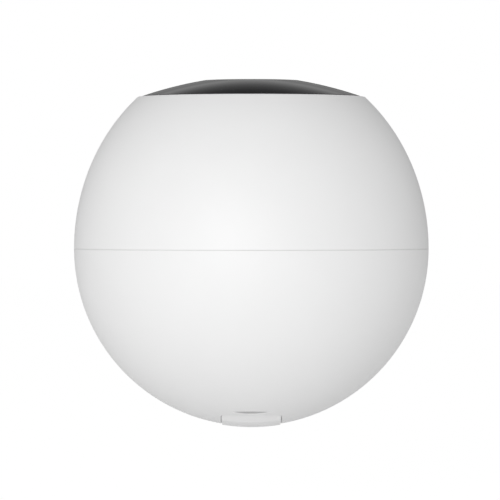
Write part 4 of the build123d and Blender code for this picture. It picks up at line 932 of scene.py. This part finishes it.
@dataclass
class Studio:
    """The photograph's camera, its lamp, the pale sweep round it and the floor."""

    eye: Triple = (-0.3 * MM, -925 * MM, 8.8 * MM)
    aim: Triple = (-0.3 * MM, 0.0, -0.3 * MM)
    lens: float = 295.0
    sensor: float = 36.0
    clip: tuple[float, float] = (0.01, 50.0)
    floor_height: float = -60.0 * MM
    floor_size: float = 6.0
    ambient_stops: Stops = ((0.0, 0.92), (0.45, 0.66), (1.0, 0.36))
    gloss_stops: Stops = (
        (0.0, 0.01),
        (0.1, 0.02),
        (0.14, 0.28),
        (0.27, 0.3),
        (0.34, 0.46),
        (0.4, 0.36),
        (0.454, 0.23),
        (0.54, 0.1),
        (0.62, 0.045),
        (1.0, 0.035),
    )
    key_power: float = 9.9
    key_size: float = 0.7
    key_place: Triple = (-0.3, -1.25, 0.05)

    def build(self) -> None:
        """Makes the camera, the lamp, the world and the floor."""
        self._camera()
        self._lamp()
        self._world()
        self._floor()

    @staticmethod
    def _aimed(place: Sequence[float], aim: Sequence[float]) -> Euler:
        """Rotation that looks from one point to another."""
        return (Vector(aim) - Vector(place)).to_track_quat("-Z", "Y").to_euler()

    def _camera(self) -> None:
        """A long lens, almost level with the seam, that looks along +Y."""
        data = bpy.data.cameras.new("photo_camera")
        data.lens = self.lens
        data.sensor_width = self.sensor
        data.clip_start, data.clip_end = self.clip
        camera = bpy.data.objects.new("photo_camera", data)
        camera.location = self.eye
        camera.rotation_euler = self._aimed(self.eye, self.aim)
        bpy.context.scene.collection.objects.link(camera)
        bpy.context.scene.camera = camera

    def _lamp(self) -> None:
        """One large soft lamp behind the camera, a little to the left."""
        data = bpy.data.lights.new("key_lamp", "AREA")
        data.shape = "DISK"
        data.size = self.key_size
        data.energy = self.key_power
        lamp = bpy.data.objects.new("key_lamp", data)
        lamp.location = self.key_place
        lamp.rotation_euler = self._aimed(self.key_place, (0.0, 0.0, 0.0))
        bpy.context.scene.collection.objects.link(lamp)

    def _world(self) -> None:
        """White light that fades upwards; gloss sees a banded sweep, the camera white."""
        world = bpy.data.worlds.new("studio_world")
        world.use_nodes = True
        shader = Shader(world.node_tree)
        direction = shader.node("ShaderNodeTexCoord").outputs["Generated"]
        _, _, rise = shader.parts(direction)
        sweep = shader.ramp(rise, self.gloss_stops)
        ambient = shader.ramp(rise, self.ambient_stops)
        path = shader.node("ShaderNodeLightPath").outputs
        camera, glossy, through = (
            Signal(shader, path[f"Is {kind} Ray"]) for kind in ("Camera", "Glossy", "Transmission")
        )
        glossy = glossy.math("MAXIMUM", through)
        level = glossy * sweep + (1 - glossy) * ambient
        light = {"Color": opaque(WHITE), "Strength": camera + (1 - camera) * level}
        background = shader.node("ShaderNodeBackground", None, light)
        shader.node("ShaderNodeOutputWorld", None, {"Surface": background.outputs[0]})
        world.cycles.sampling_method = "NONE"
        bpy.context.scene.world = world

    def _floor(self) -> None:
        """A wide flat sheet under the ball."""
        half = self.floor_size / 2
        corners = [(-half, -half), (half, -half), (half, half), (-half, half)]
        mesh = bpy.data.meshes.new("floor")
        mesh.from_pydata([(x, y, self.floor_height) for x, y in corners], [], [(0, 1, 2, 3)])
        mesh.materials.append(Paper("floor_paper").material())
        floor = bpy.data.objects.new("floor", mesh)
        bpy.context.scene.collection.objects.link(floor)


@dataclass
class Casing:
    """The two shells with their seal, face gasket and threaded insert."""

    insert_tilt: float = 25.0
    insert_reach: float = 39.5 * MM
    bore_radius: float = 2.7 * MM
    thread_pitch: float = 1.27 * MM
    thread_turns: float = 6.0
    thread_start: float = 0.7 * MM
    thread_height: float = 0.2 * MM
    thread_width: float = 0.42 * MM
    thread_fade: float = 0.5
    thread_least: float = 0.02
    thread_rows: int = 360
    thread_columns: int = 10

    def _insert_thread(self) -> None:
        """Makes the tripod thread's ridge, which winds down the insert's bore.

        The ridge's middle is a helix on the bore. Its section is a flattened ring that
        shrinks almost to nothing over the fade at each end, counted in turns.
        """
        tilt = np.radians(self.insert_tilt)
        axis = np.array((0.0, -np.cos(tilt), np.sin(tilt)))
        side = unit("x")
        turn = np.linspace(0.0, self.thread_turns, self.thread_rows)[:, None, None]
        ends = np.minimum(turn, self.thread_turns - turn) / self.thread_fade
        fade = np.clip(ends, self.thread_least, 1.0)
        ring = round_turn(self.thread_columns)[None, :, None]
        angle = 2 * np.pi * turn
        radius = self.bore_radius + self.thread_height * fade * np.cos(ring)
        height = self.thread_start + self.thread_pitch * turn
        height = height + self.thread_width * fade * np.sin(ring)
        across = np.cos(angle) * side + np.sin(angle) * np.cross(axis, side)
        points = (height - self.insert_reach) * axis + radius * across
        make_piece("insert_thread", [Skin(points)], BRASS)

    def build(self) -> None:
        """Dresses the shells and what joins them."""
        dress(WHITE_PLASTIC, "front_shell", "rear_shell")
        dress(SILICONE, "shell_seal")
        dress(BLACK_FOAM, "face_gasket")
        dress(BRASS, "mount_insert")
        self._insert_thread()


@dataclass
class Face:
    """The black face, its window and the light shield behind it."""

    def build(self) -> None:
        """Dresses the face."""
        dress(BLACK_FACE, "face_cover")
        dress(WINDOW_GLASS, "lens_window")
        dress(BLACK_PLASTIC, "light_shield")


@dataclass
class Port:
    """The rubber cover on its pin, the charging socket and the setup button."""

    contact_count: int = 12
    contact_pitch: float = 0.5 * MM
    contact_half: Triple = (0.13 * MM, 0.05 * MM, 2.0 * MM)
    contact_power: float = 0.4
    tongue_y: float = -5.0 * MM
    tongue_half: float = 0.35 * MM
    contact_z: float = -33.5 * MM
    lip_x: float = 6.63 * MM
    lip_half: float = 0.1 * MM
    lip_radius: float = 39.5 * MM
    lip_half_depth: float = 0.42 * MM
    lip_ends: tuple[float, float] = (-12.3 * MM, 0.8 * MM)
    lip_power: float = 0.5
    lip_rows: int = 48
    lip_columns: int = 16

    def _lips(self) -> None:
        """Makes the cover's two sealing lips, which follow the ball down its sides.

        The section is a squarish ring: x goes out and back by half the lip's width
        while the distance from the ball's centre goes out and back by half its depth.
        Each height is then minus the root of that distance squared, less x and y squared.
        """
        turn = round_turn(self.lip_columns)[None, :]
        y = np.linspace(*self.lip_ends, self.lip_rows)[:, None] + 0 * turn
        reach = self.lip_radius + self.lip_half_depth * bent(np.sin(turn), self.lip_power)
        skins = []
        for side in (-1, 1):
            x = side * self.lip_x + self.lip_half * bent(np.cos(turn), self.lip_power) + 0 * y
            skins.append(Skin(np.stack((x, y, -np.sqrt(reach**2 - x**2 - y**2)), axis=-1)))
        make_piece("cover_lips", skins, PORT_RUBBER, Body.FLAP)

    def _contacts(self) -> None:
        """Makes the gold contacts, half sunk into both faces of the tongue."""
        steps = np.arange(self.contact_count) - (self.contact_count - 1) / 2
        places = [
            (x, self.tongue_y + face * self.tongue_half, self.contact_z)
            for face in (-1, 1)
            for x in steps * self.contact_pitch
        ]
        bars = [rounded_bar(place, self.contact_half, self.contact_power) for place in places]
        make_piece("socket_contacts", bars, GOLD)

    def build(self) -> None:
        """Dresses the port."""
        dress(PORT_RUBBER, "port_cover")
        dress(NICKEL, "port_cover_pin", "socket_shell")
        dress(BLACK_PLASTIC, "socket_tongue", "switch_plunger")
        dress(GREY_PLASTIC, "setup_button")
        dress(TINPLATE, "setup_switch")
        dress(GREEN_BOARD, "port_board")
        self._lips()
        self._contacts()


@dataclass
class Battery:
    """Two cells in their cradle, with contacts and leads."""

    cell_end: float = 24.1 * MM
    cell_side: float = 9.7 * MM
    cell_height: float = -13.0 * MM
    washer_radii: tuple[float, float] = (3.4 * MM, 8.3 * MM)
    washer_half: float = 0.13 * MM
    washer_powers: tuple[float, float] = (0.25, 0.5)
    ring_points: int = 32
    washer_columns: int = 64

    def _washers(self) -> None:
        """Makes the paper washer round the button of each cell.

        Each is a flat ring: a thin rounded box turned about the cell's axis.
        """
        inner, outer = self.washer_radii
        ring = round_turn(self.ring_points)
        across, along = self.washer_powers
        radius = (inner + outer) / 2 + (outer - inner) / 2 * bent(np.cos(ring), across)
        profile = np.stack((radius, self.washer_half * bent(np.sin(ring), along)), 1)
        rings = []
        for y in (-self.cell_side, self.cell_side):
            place = (self.cell_end + self.washer_half, y, self.cell_height)
            points = turned(profile, place, unit("x"), unit("y"), self.washer_columns)
            rings.append(Skin(points, True))
        make_piece("cell_washers", rings, WASHER_PAPER)

    def build(self) -> None:
        """Dresses the battery."""
        dress(SLEEVE, "battery_cells")
        dress(BLACK_PLASTIC, "battery_cradle")
        dress(NICKEL, "battery_contacts")
        dress(LEADS, "battery_leads")
        self._washers()


@dataclass
class Electronics:
    """The inner frame, the main board and what is on it."""

    board_top: float = 6.6 * MM
    chip_rows: tuple[float, ...] = (-7.2 * MM, -5.0 * MM, 5.0 * MM, 7.2 * MM)
    chips_in_row: int = 9
    chip_pitch: float = 1.7 * MM
    chip_half: Triple = (0.36 * MM, 0.62 * MM, 0.3 * MM)
    end_half: Triple = (0.385 * MM, 0.16 * MM, 0.325 * MM)
    end_past: float = 0.04 * MM
    chip_power: float = 0.2
    empty_share: float = 0.15
    shift: float = 0.03 * MM
    draw_seed: int = 7

    def _small_chips(self) -> None:
        """Makes the rows of small capacitors, each with a tinned cap on both ends."""
        draw = np.random.default_rng(self.draw_seed)
        z = self.board_top + self.end_half[2]
        reach = self.chip_half[1] - self.end_half[1] + self.end_past
        bodies, ends = [], []
        for y in self.chip_rows:
            for step in range(self.chips_in_row):
                if draw.random() < self.empty_share:
                    continue
                x = (step - (self.chips_in_row - 1) / 2) * self.chip_pitch
                x += draw.normal(0.0, self.shift)
                bodies.append(rounded_bar((x, y, z), self.chip_half, self.chip_power))
                for end_y in (y - reach, y + reach):
                    ends.append(rounded_bar((x, end_y, z), self.end_half, self.chip_power))
        make_piece("capacitor_bodies", bodies, CERAMIC)
        make_piece("capacitor_ends", ends, TINPLATE)

    def build(self) -> None:
        """Dresses the boards and their parts."""
        dress(GREY_PLASTIC, "inner_frame")
        dress(GREEN_BOARD, "main_board")
        dress(ALUMINIUM, "heat_spreader")
        dress(THERMAL_PAD, "thermal_pad")
        dress(CHIP_PACKAGE, "processor", "memory_chips")
        dress(TINPLATE, "radio_shield")
        dress(IVORY_PLASTIC, "board_connectors")
        dress(BRASS, "board_spacers")
        dress(BLACK_BOARD, "antenna")
        dress(RING_RIBBON, "ring_ribbon")
        dress(PORT_RIBBON, "port_ribbon")
        self._small_chips()
        dress(SCREW_STEEL, "frame_screws", "board_screws", "medium_screws", "small_screws")


@dataclass
class Optics:
    """The lens in its holder, the sensor, and the day and night filter."""

    baffle_outer: float = 6.2 * MM
    baffle_inner: float = 5.3 * MM
    baffle_foot: float = 34.4 * MM
    baffle_steps: int = 5
    step_height: float = 0.22 * MM
    step_width: float = 0.15 * MM
    baffle_columns: int = 128

    def _baffle(self) -> None:
        """Makes the stepped ring in front of the lens, which swallows stray light.

        Its profile is a stair that widens upwards, closed by a straight outer wall, and
        is turned about the lens's axis.
        """
        step = np.arange(self.baffle_steps)
        radius = self.baffle_inner + step * self.step_width
        treads = np.stack((radius, self.baffle_foot + step * self.step_height), 1)
        risers = treads + (0.0, self.step_height)
        stair = np.stack((treads, risers), 1).reshape(-1, 2)
        wall = np.array(((self.baffle_outer, stair[-1, 1]), (self.baffle_outer, self.baffle_foot)))
        profile = np.concatenate((stair, wall))
        points = turned(profile, (0.0, 0.0, 0.0), unit("z"), unit("x"), self.baffle_columns)
        make_piece("lens_baffle", [Skin(points, True)], BLACK_PLASTIC)

    def build(self) -> None:
        """Dresses the optics."""
        dress(GREEN_BOARD, "sensor_board")
        dress(CHIP_PACKAGE, "image_sensor")
        dress(BLACK_PLASTIC, "lens_holder", "lens_barrel", "filter_carriage", "filter_rotor")
        dress(LENS_GLASS, "lens_elements")
        dress(DAY_GLASS, "day_filter")
        dress(NIGHT_GLASS, "night_filter")
        dress(GREY_PLASTIC, "filter_motor")
        dress(WINDING, "filter_coil")
        dress(NICKEL, "rotor_shaft")
        self._baffle()


@dataclass
class FrontRing:
    """The tower and the ring board with its lights, sensor and microphone."""

    def build(self) -> None:
        """Dresses the ring."""
        dress(GREY_PLASTIC, "front_tower")
        dress(BLACK_BOARD, "ring_board")
        dress(LED, "infrared_leds")
        dress(IVORY_PLASTIC, "status_led")
        dress(NIGHT_GLASS, "light_pipe")
        dress(CHIP_PACKAGE, "light_sensor")
        dress(TINPLATE, "microphone")
        dress(SILICONE, "microphone_boot")


@dataclass
class Speaker:
    """The speaker in its cup."""

    cloth_place: Triple = (0.0, 30.72 * MM, 14.4 * MM)
    cloth_radius: float = 8.1 * MM
    cloth_half: float = 0.06 * MM
    cloth_power: float = 0.3
    cloth_rows: int = 30
    cloth_columns: int = 72

    def _cloth(self) -> None:
        """Makes the dust cloth behind the shell's holes.

        It is a disc with a rounded edge: a flattened ellipse turned about the axis.
        """
        tilt = np.linspace(-np.pi / 2, np.pi / 2, self.cloth_rows)[1:-1]
        radius = self.cloth_radius * bent(np.cos(tilt), self.cloth_power)
        profile = np.stack((radius, self.cloth_half * np.sin(tilt)), 1)
        points = turned(profile, self.cloth_place, unit("y"), unit("x"), self.cloth_columns)
        make_piece("speaker_cloth", [Skin(points)], DUST_CLOTH)

    def build(self) -> None:
        """Dresses the speaker."""
        dress(MAGNET, "speaker_magnet")
        dress(BLACK_PLASTIC, "speaker_frame")
        dress(CONE_PAPER, "speaker_cone")
        dress(BLACK_FOAM, "speaker_gasket")
        self._cloth()


def main() -> None:
    """Builds the studio and each sub-assembly in order, and reports them."""
    logging.basicConfig(level=logging.INFO, format="%(message)s")
    bpy.context.scene.view_settings.view_transform = "Standard"
    Studio().build()
    for kind in (Casing, Face, Port, Battery, Electronics, Optics, FrontRing, Speaker):
        kind().build()
        LOG.info("built %s", kind.__name__)


if __name__ == "__main__":
    main()
